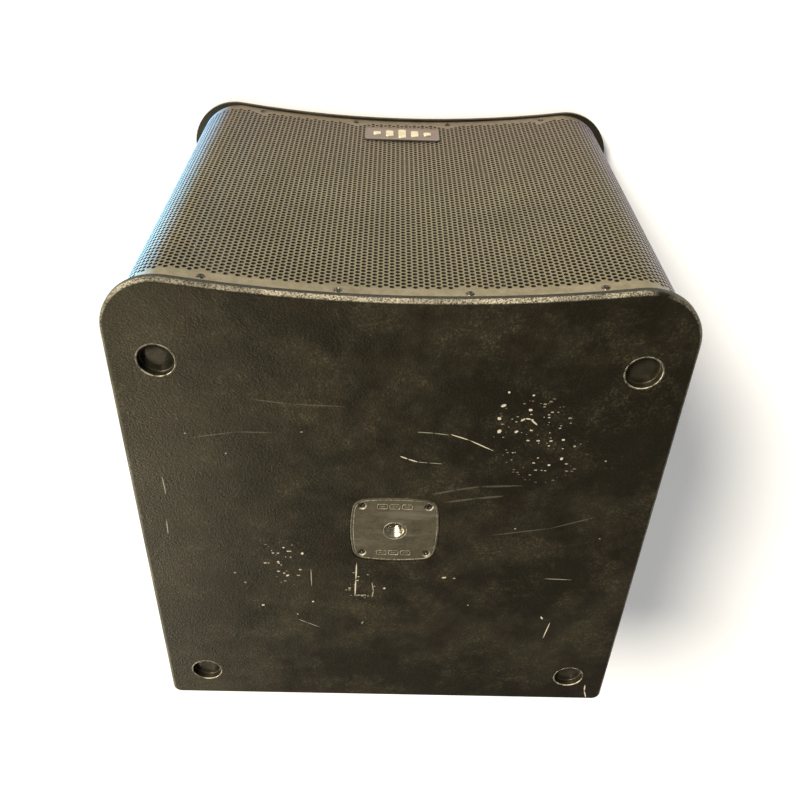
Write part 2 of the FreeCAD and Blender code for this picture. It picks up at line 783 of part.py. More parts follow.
def foot_screws():
    screws = []
    for index, (x, y) in enumerate(cup_centres()):
        head = rod(f"foot_screw_head_{index}", "z", x, y, "2", "5.5", "3")
        shank = rod(f"foot_screw_shank_{index}", "z", x, y, "4.5", "2.2", "22")
        screws.append(fuse(f"foot_screw_{index}", head, shank))
    return node(group("foot_screws", screws), "foot_screws")


# ---------------------------------------------------------------- handles
def handle_flange(side, name, extra):
    """The block that a handle pan's flange fills, longer outwards when it is used as a cutter."""
    return rounded_box(
        name,
        "x",
        20,
        mirrored(side, f"{HALF_WIDTH} - pan_flange", f"{HALF_WIDTH} + {extra}"),
        ("handle_y - handle_length / 2 - handle_flange", "handle_y + handle_length / 2 + handle_flange"),
        (
            f"{HANDLE_Z} - handle_opening / 2 - handle_flange",
            f"{HANDLE_Z} + handle_opening / 2 + handle_flange",
        ),
    )


def handle_screw_places():
    """The four flange screws of a handle, along Y and Z."""
    reach_y = "(handle_length / 2 + handle_flange / 2 - 5)"
    reach_z = "(handle_opening / 2 + handle_flange / 2)"
    return [
        (f"handle_y + {a} * {reach_y}", f"{HANDLE_Z} + {b} * {reach_z}")
        for a in (-0.7, 0.7)
        for b in (-1, 1)
    ]


def handle_pan(side, name, screws):
    """A moulded pan with a flange let into the panel, cut out for its sunk screws."""
    wall = "pan_wall"
    spans = (
        ("handle_y - handle_length / 2", "handle_y + handle_length / 2"),
        (f"{HANDLE_Z} - handle_opening / 2", f"{HANDLE_Z} + handle_opening / 2"),
    )
    flange = handle_flange(side, name + "_flange", 0)
    shell = rounded_box(
        name + "_shell", "x", 14, mirrored(side, f"{HALF_WIDTH} - handle_depth", HALF_WIDTH), *spans
    )
    hollow = rounded_box(
        name + "_hollow",
        "x",
        11.5,
        mirrored(side, f"{HALF_WIDTH} - handle_depth + {wall}", f"{HALF_WIDTH} + 1"),
        *((f"{low} + {wall}", f"{high} - {wall}") for low, high in spans),
    )
    blank = fuse(name + "_blank", flange, shell)
    return node(cut(name, blank, hollow, *screws), name)


def handle_grip(side, name):
    """The bar that the hand closes on, between the pan's two end walls."""
    x = f"{HALF_WIDTH} - grip_radius - 3" if side > 0 else f"-{HALF_WIDTH} + grip_radius + 3"
    start = "handle_y - handle_length / 2 + pan_wall"
    bar = rod(name, "y", x, start, f"{HANDLE_Z} + grip_rise", "grip_radius", "handle_length - 2 * pan_wall")
    return node(bar, name)


def handle_screws(side, name):
    """Four screws on one side, their heads flush with the panel."""
    screws = []
    shank_x, far_x = mirrored(side, f"{HALF_WIDTH} - handle_screw", f"{HALF_WIDTH} - 0.5")
    head_x = mirrored(side, f"{HALF_WIDTH} - handle_screw_sink", HALF_WIDTH)[0]
    for index, (y, z) in enumerate(handle_screw_places()):
        tag = f"{name}_{index}"
        shank = rod(f"handle_shank_{tag}", "x", shank_x, y, z, "handle_shank", f"({far_x}) - ({shank_x})")
        head = rod(f"handle_head_{tag}", "x", head_x, y, z, "handle_head", "handle_screw_sink")
        screws.append(fuse(f"handle_screw_{tag}", shank, head))
    return screws


def handle_hardware():
    """Both pans and grips, with their screws."""
    screws = []
    for side, name in ((-1, "left"), (1, "right")):
        own = handle_screws(side, name)
        handle_pan(side, "handle_pan_" + name, own)
        handle_grip(side, "handle_grip_" + name)
        screws += own
    node(group("handle_screws", screws), "handle_screws")


# ---------------------------------------------------------------- driver
CONE_REAR = 76
NECK = "(coil_radius + former_wall)"


def driver_screw_places():
    """Eight screws round the flange."""
    places = []
    for index in range(8):
        angle = math.radians(22.5 + 45 * index)
        x = f"(driver_x + driver_screw_circle * {math.cos(angle):.6f})"
        z = f"({MIDDLE_Z} + driver_screw_circle * {math.sin(angle):.6f})"
        places.append((x, z))
    return places


def driver_basket():
    """Cast frame: flange, eight spokes, a ledge for the spider and a seat for the motor."""
    body = turned(
        "basket_body",
        [
            ("flange_radius", "-flange_front"),
            ("flange_radius", "0"),
            ("cutout_radius - 0.5", "0"),
            ("cutout_radius - 2.5", "8"),
            ("108", "106"),
            ("104", "110"),
            ("104", "seat_depth"),
            ("58", "seat_depth"),
            ("58", "seat_depth - 4"),
            ("98", "seat_depth - 4"),
            ("98", "104"),
            ("84", "104"),
            ("84", "100"),
            ("102", "100"),
            ("204", "3"),
            ("205", "-flange_front / 2"),
            ("215", "-flange_front / 2"),
            ("215", "-flange_front"),
        ],
    )
    window = new_sketch(body, "XY_Plane")
    draw_path(window, [("183", "18"), ("205", "18"), ("130", "92"), ("105", "92")])
    doc.recompute()
    before = body.Shape.Volume
    first = body.newObject("PartDesign::Pocket", "basket_window")
    first.Profile = window
    first.Midplane = True
    first.Length = 72
    doc.recompute()
    if body.Shape.Volume > before - 1:
        raise RuntimeError("the basket's window cuts nothing")
    windows = body.newObject("PartDesign::PolarPattern", "basket_windows")
    windows.Originals = [first]
    windows.Axis = (window, ["V_Axis"])
    windows.Angle = 360
    windows.Occurrences = 8
    body.Tip = windows
    start = f"{BAFFLE_FRONT} - flange_front - 1"
    holes = [
        rod(f"basket_hole_{index}", "y", x, start, z, "2.4", "flange_front + 2")
        for index, (x, z) in enumerate(driver_screw_places())
    ]
    return node(cut("driver_basket", body, *holes), "driver_basket")


def driver_screws():
    screws = []
    face = f"{BAFFLE_FRONT} - flange_front"
    for index, (x, z) in enumerate(driver_screw_places()):
        head = rod(f"driver_head_{index}", "y", x, f"{face} - 3", z, "4.5", "3")
        shank = rod(f"driver_shank_{index}", "y", x, face, z, "2.4", "flange_front + 20")
        screws.append(fuse(f"driver_screw_{index}", head, shank))
    return node(group("driver_screws", screws), "driver_screws")


def arc_rise(radius, half_chord):
    """Height of an arc above its chord."""
    return radius - math.sqrt(radius**2 - half_chord**2)


def soft_parts():
    """Surround, its clamping ring, and the spider."""
    edge = "cone_edge"
    crown = number(edge) + 8
    front_roll = 8.2
    rear_roll = 7.2
    surround = turned(
        "surround",
        [
            (f"{edge} - 6", "-5"),
            (edge, "-5", f"{front_roll}", (crown, -5 - arc_rise(front_roll, 8))),
            (f"{edge} + 16", "-5"),
            ("215", "-5"),
            ("215", "-4"),
            (f"{edge} + 15", "-4", f"{rear_roll}", (crown, -4 - arc_rise(rear_roll, 7))),
            (f"{edge} + 1", "-4"),
            (f"{edge} - 6", "-4"),
        ],
    )
    node(surround, "surround")
    ring = turned("gasket_ring", [("206.5", "-8"), ("215", "-8"), ("215", "-5"), ("206.5", "-5")])
    node(ring, "driver_gasket")
    spider = turned("spider", [(NECK, "99.2"), ("96", "99.2"), ("96", "100"), (NECK, "100")])
    node(spider, "spider")


def cone_assembly():
    """Everything that the voice coil moves."""
    edge = "cone_edge"
    cone = turned(
        "cone",
        [
            (NECK, f"{CONE_REAR} - 2.5"),
            (f"{edge} - 6", "-4"),
            (edge, "-4"),
            (edge, "-2"),
            (f"{edge} - 3.5", "-2"),
            (NECK, CONE_REAR),
        ],
    )
    node(cone, "cone")
    # The front of the cap is a shallow dome with its rim on the cone.
    rim = 61.5
    rise = 21.8
    dome = (rim**2 + rise**2) / (2 * rise)
    halfway = dome - math.sqrt(dome**2 - 900)
    cap = turned(
        "dust_cap",
        [
            ("0", "44", f"{dome}", (30, 44 + halfway)),
            (f"{rim}", "65.8"),
            (f"{rim}", "67.1", f"{dome}", (30, 45.3 + halfway)),
            ("0", "45.3"),
        ],
    )
    node(cap, "dust_cap")
    tube = [("coil_radius", "73.5"), (NECK, "73.5"), (NECK, "152"), ("coil_radius", "152")]
    former = turned("coil_former", tube)
    node(former, "coil_former")
    outside = "(coil_radius + former_wall + coil_wall)"
    winding = turned("coil_winding", [(NECK, "122"), (outside, "122"), (outside, "148"), (NECK, "148")])
    node(winding, "coil_winding")


def motor():
    """Front plate, ferrite ring, and back plate with its vented pole."""
    gap = "(coil_radius + former_wall + coil_wall + 1)"
    front = "seat_depth"
    back = "(seat_depth + steel)"
    node(turned("front_plate", [(gap, front), ("100", front), ("100", back), (gap, back)]), "front_plate")
    rear = "(seat_depth + steel + ferrite)"
    ring = [("60", back), ("ferrite_radius", back), ("ferrite_radius", rear), ("60", rear)]
    node(turned("magnet", ring), "magnet")
    pole = "(coil_radius - 1.5)"
    node(
        turned(
            "back_plate",
            [
                ("14", front),
                (pole, front),
                (pole, rear),
                ("ferrite_radius - 4", rear),
                ("ferrite_radius - 4", f"{rear} + steel + 1"),
                ("14", f"{rear} + steel + 1"),
            ],
        ),
        "back_plate",
    )


def driver_terminals():
    """A block with two spring posts on the side of the basket's seat."""
    low = f"({BAFFLE_FRONT} + 109)"
    block = box(
        "terminal_block",
        ("driver_x + 104.2", "driver_x + 118"),
        (f"{low} + 2", f"{low} + 17"),
        (f"{MIDDLE_Z} - 16", f"{MIDDLE_Z} + 16"),
    )
    start = "driver_x + 117"
    posts = [
        rod(f"terminal_post_{index}", "x", start, f"{low} + 9.5", f"{MIDDLE_Z} + {offset}", "3", "12")
        for index, offset in enumerate((-9, 9))
    ]
    return node(fuse("driver_terminals", block, *posts), "driver_terminals")


# ---------------------------------------------------------------- amplifier
KNOB_Z = f"({MIDDLE_Z} + 115)"
INPUT_Z = f"({MIDDLE_Z} + 62)"
OUTPUT_Z = f"({MIDDLE_Z} + 12)"
POWER_Z = f"({MIDDLE_Z} - 115)"
LEFT_COLUMN = 60
RIGHT_COLUMN = 110
SWITCH_X = 20
INLET_X = 95
ROCKER_X = 40
FAN_X = -80
FAN_HALF = 30


def centred(middle, size):
    """A span of a given size about a middle."""
    return (f"{middle} - {size} / 2", f"{middle} + {size} / 2")


def amp_flange(name, extra):
    """The block that the amplifier panel's flange fills, longer outwards when it is used as a cutter."""
    return box(
        name,
        ("-amp_width / 2 - amp_flange", "amp_width / 2 + amp_flange"),
        (f"{REAR} - 2.5", f"{REAR} + {extra}"),
        (
            f"{MIDDLE_Z} - amp_height / 2 - amp_flange",
            f"{MIDDLE_Z} + amp_height / 2 + amp_flange",
        ),
    )


def amp_screw_places():
    """Eight screws in the middle of the flange."""
    reach_x = "(amp_width / 2 + amp_flange / 2)"
    reach_z = "(amp_height / 2 + amp_flange / 2)"
    corners = [(f"{a}{reach_x}", f"{MIDDLE_Z} {b} {reach_z}") for a in ("-", "") for b in ("-", "+")]
    sides = [(f"{a}{reach_x}", MIDDLE_Z) for a in ("-", "")]
    ends = [("0", f"{MIDDLE_Z} {b} {reach_z}") for b in ("-", "+")]
    return corners + sides + ends


def amp_screws():
    screws = []
    for index, (x, z) in enumerate(amp_screw_places()):
        shank = rod(f"amp_shank_{index}", "y", x, f"{REAR} - 17", z, "1.8", "15.5")
        head = taper(f"amp_head_{index}", "y", x, f"{REAR} - 2.2", z, "1.8", "4", "2.2")
        screws.append(fuse(f"amp_screw_{index}", shank, head))
    return screws


def connector_places():
    """Middle of each balanced socket: (name, x, z)."""
    return [
        ("input_one", LEFT_COLUMN, INPUT_Z),
        ("input_two", RIGHT_COLUMN, INPUT_Z),
        ("output_one", LEFT_COLUMN, OUTPUT_Z),
        ("output_two", RIGHT_COLUMN, OUTPUT_Z),
    ]


def amp_panel(screws):
    """A dished panel. Its flange is let into the rear board; its floor carries the sockets and controls."""
    flange = amp_flange("amp_rim", 0)
    dish = box(
        "amp_dish",
        ("-amp_width / 2", "amp_width / 2"),
        (AMP_INSIDE, REAR),
        (f"{MIDDLE_Z} - amp_height / 2", f"{MIDDLE_Z} + amp_height / 2"),
    )
    hollow = box(
        "amp_hollow",
        ("-amp_width / 2 + amp_sheet", "amp_width / 2 - amp_sheet"),
        (AMP_OUTSIDE, f"{REAR} + 1"),
        (f"{MIDDLE_Z} - amp_height / 2 + amp_sheet", f"{MIDDLE_Z} + amp_height / 2 - amp_sheet"),
    )
    through = (f"{AMP_INSIDE} - 1", f"{AMP_OUTSIDE} + 1")
    start = f"{AMP_INSIDE} - 1"
    length = "amp_sheet + 2"
    holes = [
        box(f"panel_hole_{name}", centred(x, 24), through, centred(z, 28))
        for name, x, z in connector_places()
    ]
    holes += [
        rod(f"panel_knob_hole_{x}", "y", x, start, KNOB_Z, "4.5", length)
        for x in (LEFT_COLUMN, RIGHT_COLUMN)
    ]
    holes.append(box("panel_switch_hole", centred(SWITCH_X, 9.2), through, centred(KNOB_Z, 4.6)))
    holes.append(box("panel_inlet_hole", centred(INLET_X, 28), through, centred(POWER_Z, 21)))
    holes.append(box("panel_rocker_hole", centred(ROCKER_X, 22), through, centred(POWER_Z, 16)))
    holes.append(rod("panel_fan_hole", "y", FAN_X, start, POWER_Z, "28", length))
    holes += [
        rod(f"panel_led_hole_{index}", "y", SWITCH_X, start, f"{INPUT_Z} + {10 * index}", "1.5", length)
        for index in range(-1, 2)
    ]
    blank = fuse("amp_blank", flange, dish)
    return node(cut("amp_panel", blank, hollow, *holes, *screws), "amp_panel")


def amp_chassis():
    """A folded tray that closes the back of the amplifier inside the cabinet."""
    width = ("-amp_width / 2 + 5", "amp_width / 2 - 5")
    height = (f"{MIDDLE_Z} - amp_height / 2 + 5", f"{MIDDLE_Z} + amp_height / 2 - 5")
    tray = box("chassis_tray", width, (CHASSIS_FRONT, AMP_INSIDE), height)
    hollow = box(
        "chassis_hollow",
        (f"{width[0]} + 1.5", f"{width[1]} - 1.5"),
        (f"{CHASSIS_FRONT} + 1.5", f"{AMP_INSIDE} + 1"),
        (f"{height[0]} + 1.5", f"{height[1]} - 1.5"),
    )
    return node(cut("amp_chassis", tray, hollow), "amp_chassis")


def heat_sink():
    """Base and upright fins, all inside the dish."""
    low_z = f"{MIDDLE_Z} - 50"
    high_z = f"{MIDDLE_Z} + 160"
    base = box("sink_base", ("-135", "-15"), (AMP_OUTSIDE, f"{AMP_OUTSIDE} + 4"), (low_z, high_z))
    fin_y = (f"{AMP_OUTSIDE} + 3", f"{AMP_OUTSIDE} + 17")
    fins = [
        box(f"sink_fin_{index}", centred(x, 2), fin_y, (low_z, high_z))
        for index, x in enumerate(range(-133, -16, 9))
    ]
    return node(fuse("heat_sink", base, *fins), "heat_sink")


def electronics():
    """Board, mains transformer and reservoir capacitors inside the chassis."""
    board_y = f"{CHASSIS_FRONT} + 8"
    board_z = (f"{MIDDLE_Z} - 60", f"{MIDDLE_Z} + 160")
    node(box("main_board", ("-135", "10"), (board_y, f"{board_y} + 2"), board_z), "main_board")
    cans = [
        rod(f"can_{x}_{z}", "y", x, f"{board_y} + 2", f"{MIDDLE_Z} + {z}", "15", "42")
        for x in (-105, -65)
        for z in (60, 100)
    ]
    node(group("capacitors", cans), "capacitors")
    ring = rod("toroid_ring", "y", "75", f"{CHASSIS_FRONT} + 1.5", f"{MIDDLE_Z} - 90", "54", "46")
    eye = rod("toroid_eye", "y", "75", CHASSIS_FRONT, f"{MIDDLE_Z} - 90", "14", "60")
    node(cut("transformer", ring, eye), "transformer")


def socket_blank(name, x, z):
    """Body and face plate of a balanced socket."""
    rear = box(f"{name}_rear", centred(x, 24), (f"{AMP_OUTSIDE} - 22", AMP_OUTSIDE), centred(z, 28))
    face = box(f"{name}_face", centred(x, 27), (AMP_OUTSIDE, f"{AMP_OUTSIDE} + 2"), centred(z, 32))
    return fuse(f"{name}_blank", rear, face)


def input_sockets():
    """Female sockets with an annular groove, three contacts and a pocket for the latch."""
    sockets = []
    for name, x, z in connector_places()[:2]:
        face = f"{AMP_OUTSIDE} + 2"
        outer = rod(f"{name}_groove", "y", x, f"{face} - 14", z, "9.4", "15")
        core = rod(f"{name}_core", "y", x, f"{face} - 15", z, "7.6", "17")
        groove = cut(f"{name}_ring", outer, core)
        contacts = [
            rod(f"{name}_contact_{index}", "y", f"{x} + {dx}", f"{face} - 12", f"{z} + {dz}", "1.4", "14")
            for index, (dx, dz) in enumerate(pin_offsets())
        ]
        latch_z = f"({z} + 11.6)"
        recess = box(
            f"{name}_latch_pocket", centred(x, 7), (f"{face} - 10", f"{face} + 1"), centred(latch_z, 3.6)
        )
        sockets.append(cut(name, socket_blank(name, x, z), groove, recess, *contacts))
        tab = box(f"{name}_latch", centred(x, 6.4), (f"{face} - 7", f"{face} + 4"), centred(latch_z, 3))
        node(tab, "latch_" + name)
    return node(group("input_sockets", sockets), "input_sockets")


def pin_offsets():
    """Two contacts level above the middle and one below it."""
    return [(-3.2, 1.8), (3.2, 1.8), (0, -3.7)]


def output_sockets():
    """Male sockets: a round well with three pins."""
    sockets = []
    for name, x, z in connector_places()[2:]:
        face = f"{AMP_OUTSIDE} + 2"
        well = rod(f"{name}_well", "y", x, f"{face} - 16", z, "9.4", "17")
        shell = cut(f"{name}_shell", socket_blank(name, x, z), well)
        pins = [
            rod(f"{name}_pin_{index}", "y", f"{x} + {dx}", f"{face} - 17", f"{z} + {dz}", "1.2", "14")
            for index, (dx, dz) in enumerate(pin_offsets())
        ]
        sockets.append(fuse(name, shell, *pins))
    return node(group("output_sockets", sockets), "output_sockets")


def mains_inlet():
    """Flanged appliance inlet with three flat pins."""
    face = f"{AMP_OUTSIDE} + 2"
    depth = (f"{AMP_OUTSIDE} - 22", AMP_OUTSIDE)
    rear = box("inlet_rear", centred(INLET_X, 28), depth, centred(POWER_Z, 21))
    plate = box("inlet_face", centred(INLET_X, 50), (AMP_OUTSIDE, face), centred(POWER_Z, 25))
    well = box("inlet_well", centred(INLET_X, 24.5), (f"{face} - 18", f"{face} + 1"), centred(POWER_Z, 17))
    shell = cut("inlet_shell", fuse("inlet_blank", rear, plate), well)
    pins = [
        box(
            f"inlet_pin_{index}",
            centred(f"{INLET_X} + {dx}", 2),
            (f"{face} - 19", f"{face} - 3"),
            centred(f"{POWER_Z} + {dz}", 5),
        )
        for index, (dx, dz) in enumerate(((0, 4), (-7, -3), (7, -3)))
    ]
    return node(fuse("mains_inlet", shell, *pins), "mains_inlet")


def power_switch():
    """Bezel with a deep well, and the rocker that tips in it about a pin along X."""
    face = f"{AMP_OUTSIDE} + 2"
    plate = box("bezel_face", centred(ROCKER_X, 25), (AMP_OUTSIDE, face), centred(POWER_Z, 19))
    depth = (f"{AMP_OUTSIDE} - 18", AMP_OUTSIDE)
    rear = box("bezel_rear", centred(ROCKER_X, 22), depth, centred(POWER_Z, 16))
    inside = (f"{face} - 16", f"{face} + 1")
    well = box("bezel_well", centred(ROCKER_X, 19.4), inside, centred(POWER_Z, 12.6))
    node(cut("switch_bezel", fuse("bezel_blank", plate, rear), well), "switch_bezel")
    rocker = doc.addObject("Part::Box", "rocker_block")
    rocker.Length = 18.6
    rocker.Width = 10
    rocker.Height = 10.4
    tilt = FreeCAD.Rotation(VECTOR(1, 0, 0), -8)
    centre = VECTOR(ROCKER_X, number(AMP_OUTSIDE), number(POWER_Z))
    rocker.Placement = FreeCAD.Placement(centre + tilt.multVec(VECTOR(-9.3, -5, -5.2)), tilt)
    node(rocker, "power_rocker")


def level_controls():
    """Two rotary controls: the bodies stay, the shafts turn with their knobs."""
    bodies = []
    for name, x in (("gain_knob", LEFT_COLUMN), ("crossover_knob", RIGHT_COLUMN)):
        can = box(f"{name}_can", centred(x, 17), (f"{AMP_INSIDE} - 9", AMP_INSIDE), centred(KNOB_Z, 17))
        bush = rod(f"{name}_bush", "y", x, f"{AMP_INSIDE} - 1", KNOB_Z, "4.5", "amp_sheet + 1.8")
        bore = rod(f"{name}_bore", "y", x, f"{AMP_INSIDE} - 8", KNOB_Z, "3.05", "20")
        bodies.append(cut(f"{name}_pot", fuse(f"{name}_pot_blank", can, bush), bore))
        shaft = rod(f"{name}_shaft", "y", x, f"{AMP_INSIDE} - 7.5", KNOB_Z, "3", "amp_sheet + 9")
        cap = taper(f"{name}_cap", "y", x, f"{AMP_OUTSIDE} + 1.2", KNOB_Z, "8", "7", "12")
        skirt = rod(f"{name}_skirt", "y", x, f"{AMP_OUTSIDE} + 1.2", KNOB_Z, "9", "3")
        crown = (f"{AMP_OUTSIDE} + 12", f"{AMP_OUTSIDE} + 13.8")
        pointer = box(f"{name}_pointer", centred(x, 1.4), crown, (KNOB_Z, f"{KNOB_Z} + 6.8"))
        node(fuse(name, shaft, cap, skirt, pointer), name)
    return node(group("potentiometers", bodies), "potentiometers")


def polarity_switch():
    """A two-way slide switch."""
    can = box("slide_can", centred(SWITCH_X, 18), (f"{AMP_INSIDE} - 10", AMP_INSIDE), centred(KNOB_Z, 9))
    depth = (f"{AMP_INSIDE} - 8", f"{AMP_INSIDE} + 1")
    slot = box("slide_slot", centred(SWITCH_X, 9.2), depth, centred(KNOB_Z, 4.6))
    node(cut("polarity_switch", can, slot), "polarity_switch")
    slider = box(
        "slider",
        (f"{SWITCH_X} - 4.4", SWITCH_X),
        (f"{AMP_INSIDE} - 7.5", f"{AMP_OUTSIDE} + 3"),
        centred(KNOB_Z, 4),
    )
    node(slider, "polarity_slider")


def status_lights():
    start = f"{AMP_INSIDE} - 4"
    lights = [
        rod(f"light_{index}", "y", SWITCH_X, start, f"{INPUT_Z} + {10 * index}", "1.5", "amp_sheet + 5.5")
        for index in range(-1, 2)
    ]
    return node(group("status_lights", lights), "status_lights")


def fan():
    """Square fan frame with three struts, its impeller, and a wire guard outside."""
    frame_y = (f"{AMP_INSIDE} - 15", AMP_INSIDE)
    block = box("fan_block", centred(FAN_X, 60), frame_y, centred(POWER_Z, 60))
    duct = rod("fan_duct", "y", FAN_X, f"{AMP_INSIDE} - 16", POWER_Z, "28.5", "17")
    mount = rod("fan_mount", "y", FAN_X, frame_y[0], POWER_Z, "13", "2.5")
    strut_y = (frame_y[0], f"{frame_y[0]} + 2.5")
    struts = [
        box("fan_strut_level", centred(FAN_X, 58), strut_y, centred(POWER_Z, 4)),
        box("fan_strut_upright", centred(FAN_X, 4), strut_y, centred(POWER_Z, 58)),
    ]
    node(fuse("fan_frame", cut("fan_ring", block, duct), mount, *struts), "fan_frame")
    hub = rod("impeller_hub", "y", FAN_X, f"{AMP_INSIDE} - 12", POWER_Z, "12.5", "10.5")
    blades = []
    for index in range(7):
        blade = doc.addObject("Part::Box", f"blade_{index}")
        blade.Length = 16
        blade.Width = 11
        blade.Height = 1.4
        around = FreeCAD.Rotation(VECTOR(0, 1, 0), index * 360 / 7)
        pitch = FreeCAD.Rotation(VECTOR(1, 0, 0), 35)
        spin = around.multiply(pitch)
        centre = VECTOR(FAN_X, number(AMP_INSIDE) - 6.75, number(POWER_Z))
        blade.Placement = FreeCAD.Placement(centre + spin.multVec(VECTOR(11.3, -5.5, -0.7)), spin)
        blades.append(blade)
    node(fuse("fan_impeller", hub, *blades), "fan_impeller")
    rings = []
    for index, radius in enumerate((10, 18, 26)):
        ring = doc.addObject("Part::Torus", f"guard_ring_{index}")
        ring.Radius1 = radius
        ring.Radius2 = 0.9
        ring.Placement = FreeCAD.Placement(VECTOR(), TURN_TO_AXIS["y"])
        bind_place(ring, FAN_X, f"{AMP_OUTSIDE} + 1", POWER_Z)
        rings.append(ring)
    depth = (f"{AMP_OUTSIDE} + 1.2", f"{AMP_OUTSIDE} + 2.8")
    spokes = [
        box("guard_spoke_level", centred(FAN_X, 66), depth, centred(POWER_Z, 1.6)),
        box("guard_spoke_upright", centred(FAN_X, 1.6), depth, centred(POWER_Z, 66)),
    ]
    node(fuse("fan_guard", *rings, *spokes), "fan_guard")


# ---------------------------------------------------------------- assembly
def build():
    top_panel()
    bottom_panel()
    side_panel(-1, "side_panel_left")
    side_panel(1, "side_panel_right")
    rear_panel()
    front_baffle()
    port_wall()
    window_brace()
    grille_rail("grille_rail_top", f"{CEILING} - rail_height")
    grille_rail("grille_rail_bottom", FLOOR)
    grille()
    grille_screws()
    badge()
    badge_mark()
    pole_mount_plate()
    pole_mount_screws()
    stacking_cups()
    rubber_feet()
    foot_screws()
    handle_hardware()
    driver_basket()
    driver_screws()
    soft_parts()
    cone_assembly()
    motor()
    driver_terminals()
    screws = amp_screws()
    amp_panel(screws)
    node(group("amp_screws", screws), "amp_screws")
    amp_chassis()
    heat_sink()
    electronics()
    input_sockets()
    output_sockets()
    mains_inlet()
    power_switch()
    level_controls()
    polarity_switch()
    status_lights()
    fan()


def check():
    """Stop if any object failed or any sub-part isn't a sound shape."""
    for item in doc.Objects:
        if {"Invalid", "Error"} & set(item.State):
            raise RuntimeError(f"{item.Name} is {item.State}")
    for item in nodes:
        shape = item.Shape
        if shape.isNull() or not shape.isValid() or not shape.Solids:
            raise RuntimeError(f"{item.Label} has no sound solid")


def write():
    os.makedirs("parts", exist_ok=True)
    for item in nodes:
        item.Shape.exportStep(f"parts/{item.Label}.step")
    print(len(nodes), "sub-parts written")


build()
doc.recompute()
check()
write()
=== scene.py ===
import math
import random

import bmesh
import bpy
import numpy as np
from mathutils import Matrix, Vector


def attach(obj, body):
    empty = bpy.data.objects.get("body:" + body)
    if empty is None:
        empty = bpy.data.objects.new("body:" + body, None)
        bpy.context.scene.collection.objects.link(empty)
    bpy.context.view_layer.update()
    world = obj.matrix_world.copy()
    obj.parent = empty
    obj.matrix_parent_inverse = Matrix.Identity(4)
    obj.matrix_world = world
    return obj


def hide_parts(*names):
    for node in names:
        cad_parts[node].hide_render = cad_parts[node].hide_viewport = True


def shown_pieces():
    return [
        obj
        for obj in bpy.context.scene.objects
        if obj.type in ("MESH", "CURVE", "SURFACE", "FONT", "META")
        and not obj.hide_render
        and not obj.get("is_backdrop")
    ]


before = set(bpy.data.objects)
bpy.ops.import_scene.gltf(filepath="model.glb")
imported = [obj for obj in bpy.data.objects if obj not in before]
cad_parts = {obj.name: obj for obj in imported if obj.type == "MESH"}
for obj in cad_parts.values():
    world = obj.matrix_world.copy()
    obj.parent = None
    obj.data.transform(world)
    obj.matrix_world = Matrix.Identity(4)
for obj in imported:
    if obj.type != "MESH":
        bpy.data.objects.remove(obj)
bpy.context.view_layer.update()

# Looks of a powered bass loudspeaker. Metres throughout, +Z up, the grille facing -Y.
MM = 0.001
SEED = 11
random.seed(SEED)

# Cabinet plan: two corner circles joined by one large arc that curves inwards.
# The grille's bent ends lie a little further in than the panels' corners.
HALF_WIDTH = 0.310
FRONT = -0.341
SETBACK = 0.017
CORNER_RADIUS = 0.064
GRILLE_SIDE = 0.007
CORNER_X = HALF_WIDTH - GRILLE_SIDE - CORNER_RADIUS
CORNER_Y = FRONT + CORNER_RADIUS
REACH = (CORNER_X**2 + SETBACK**2) / (2 * SETBACK)
LEAN = math.asin(CORNER_X / REACH)
FRONT_ARC = REACH - CORNER_RADIUS
ARC_CENTRE_Y = FRONT + SETBACK - FRONT_ARC
TOP_Z = 0.552
WRAP_Y = -0.268

# Grille
SHEET_INSET = 0.0035
SHEET_THICK = 0.0015
SHEET_LOW, SHEET_HIGH = 0.022, 0.542
PITCH = 0.007
HOLE_RADIUS = 0.00245
MARGIN_LOW, MARGIN_HIGH = 0.013, 0.0195
FIELD_HALF = 0.292
# No hole lies nearer to a screw than this.
GRILLE_SCREW_CLEAR = 0.0145
GRILLE_SCREWS = [(x, z) for z in (0.033, 0.531) for x in (-0.2044, -0.0675, 0.0675, 0.2044)]

# Badge, pole plate, cups and feet
BADGE_MIDDLE = 0.0799
PLATE_FACE = 0.5514
PLATE_SCREW_LEVEL = PLATE_FACE - 0.0012
SCREW_SPREAD = 0.040
FOOT_SCREW_LEVEL = 0.0049
CUP_PLACES = [(x, y) for y in (-0.2433, 0.2876) for x in (-0.257, 0.257)]

# Pole plate: half its width, how far its sides bulge, its corner radius, its boss and its thread.
PLATE_HALF, PLATE_BULGE, PLATE_CORNER = 0.055, 0.003, 0.018
PLATE_UNDERSIDE = 0.547
BOSS_LOW = 0.5174
THREAD_LEAD = 0.0025
THREAD_ROOT, THREAD_DEPTH = 0.0088, 0.0013

# Driver, amplifier panel and handles
DRIVER_X, DRIVER_Z = 0.041, 0.282
DRIVER_FACE = -0.285
DRIVER_SCREW_RING = 0.2215
AMP_FLOOR = 0.321
AMP_RIM = 0.3408
AMP_MIDDLE = 0.282
AMP_SCREW_X, AMP_SCREW_Z = 0.155, 0.185
DIALS = (("gain_knob", 0.060), ("crossover_knob", 0.110))
DIAL_LEVEL = 0.397
GRIP_X, HANDLE_Y, GRIP_Z = 0.296, 0.150, 0.328
PAN_FACE = HALF_WIDTH - 0.0013
PAN_MIDDLE_Z = 0.300
PAN_SCREW_Y, PAN_SCREW_Z = 0.063, 0.060

# A radius that stands for zero, and how far cutters stand proud of what they cut.
NIL = 1e-9
PROUD = 0.0006
# The wear marks are listed in millimetres and drawn a little larger.
MARK_SIZE = 1.22 * MM

# Colours that several finishes share, as linear red, green and blue.
WARM_GLOSS = (1.0, 0.9, 0.68, 1)
WARM_LAMP = (1.0, 0.94, 0.82)


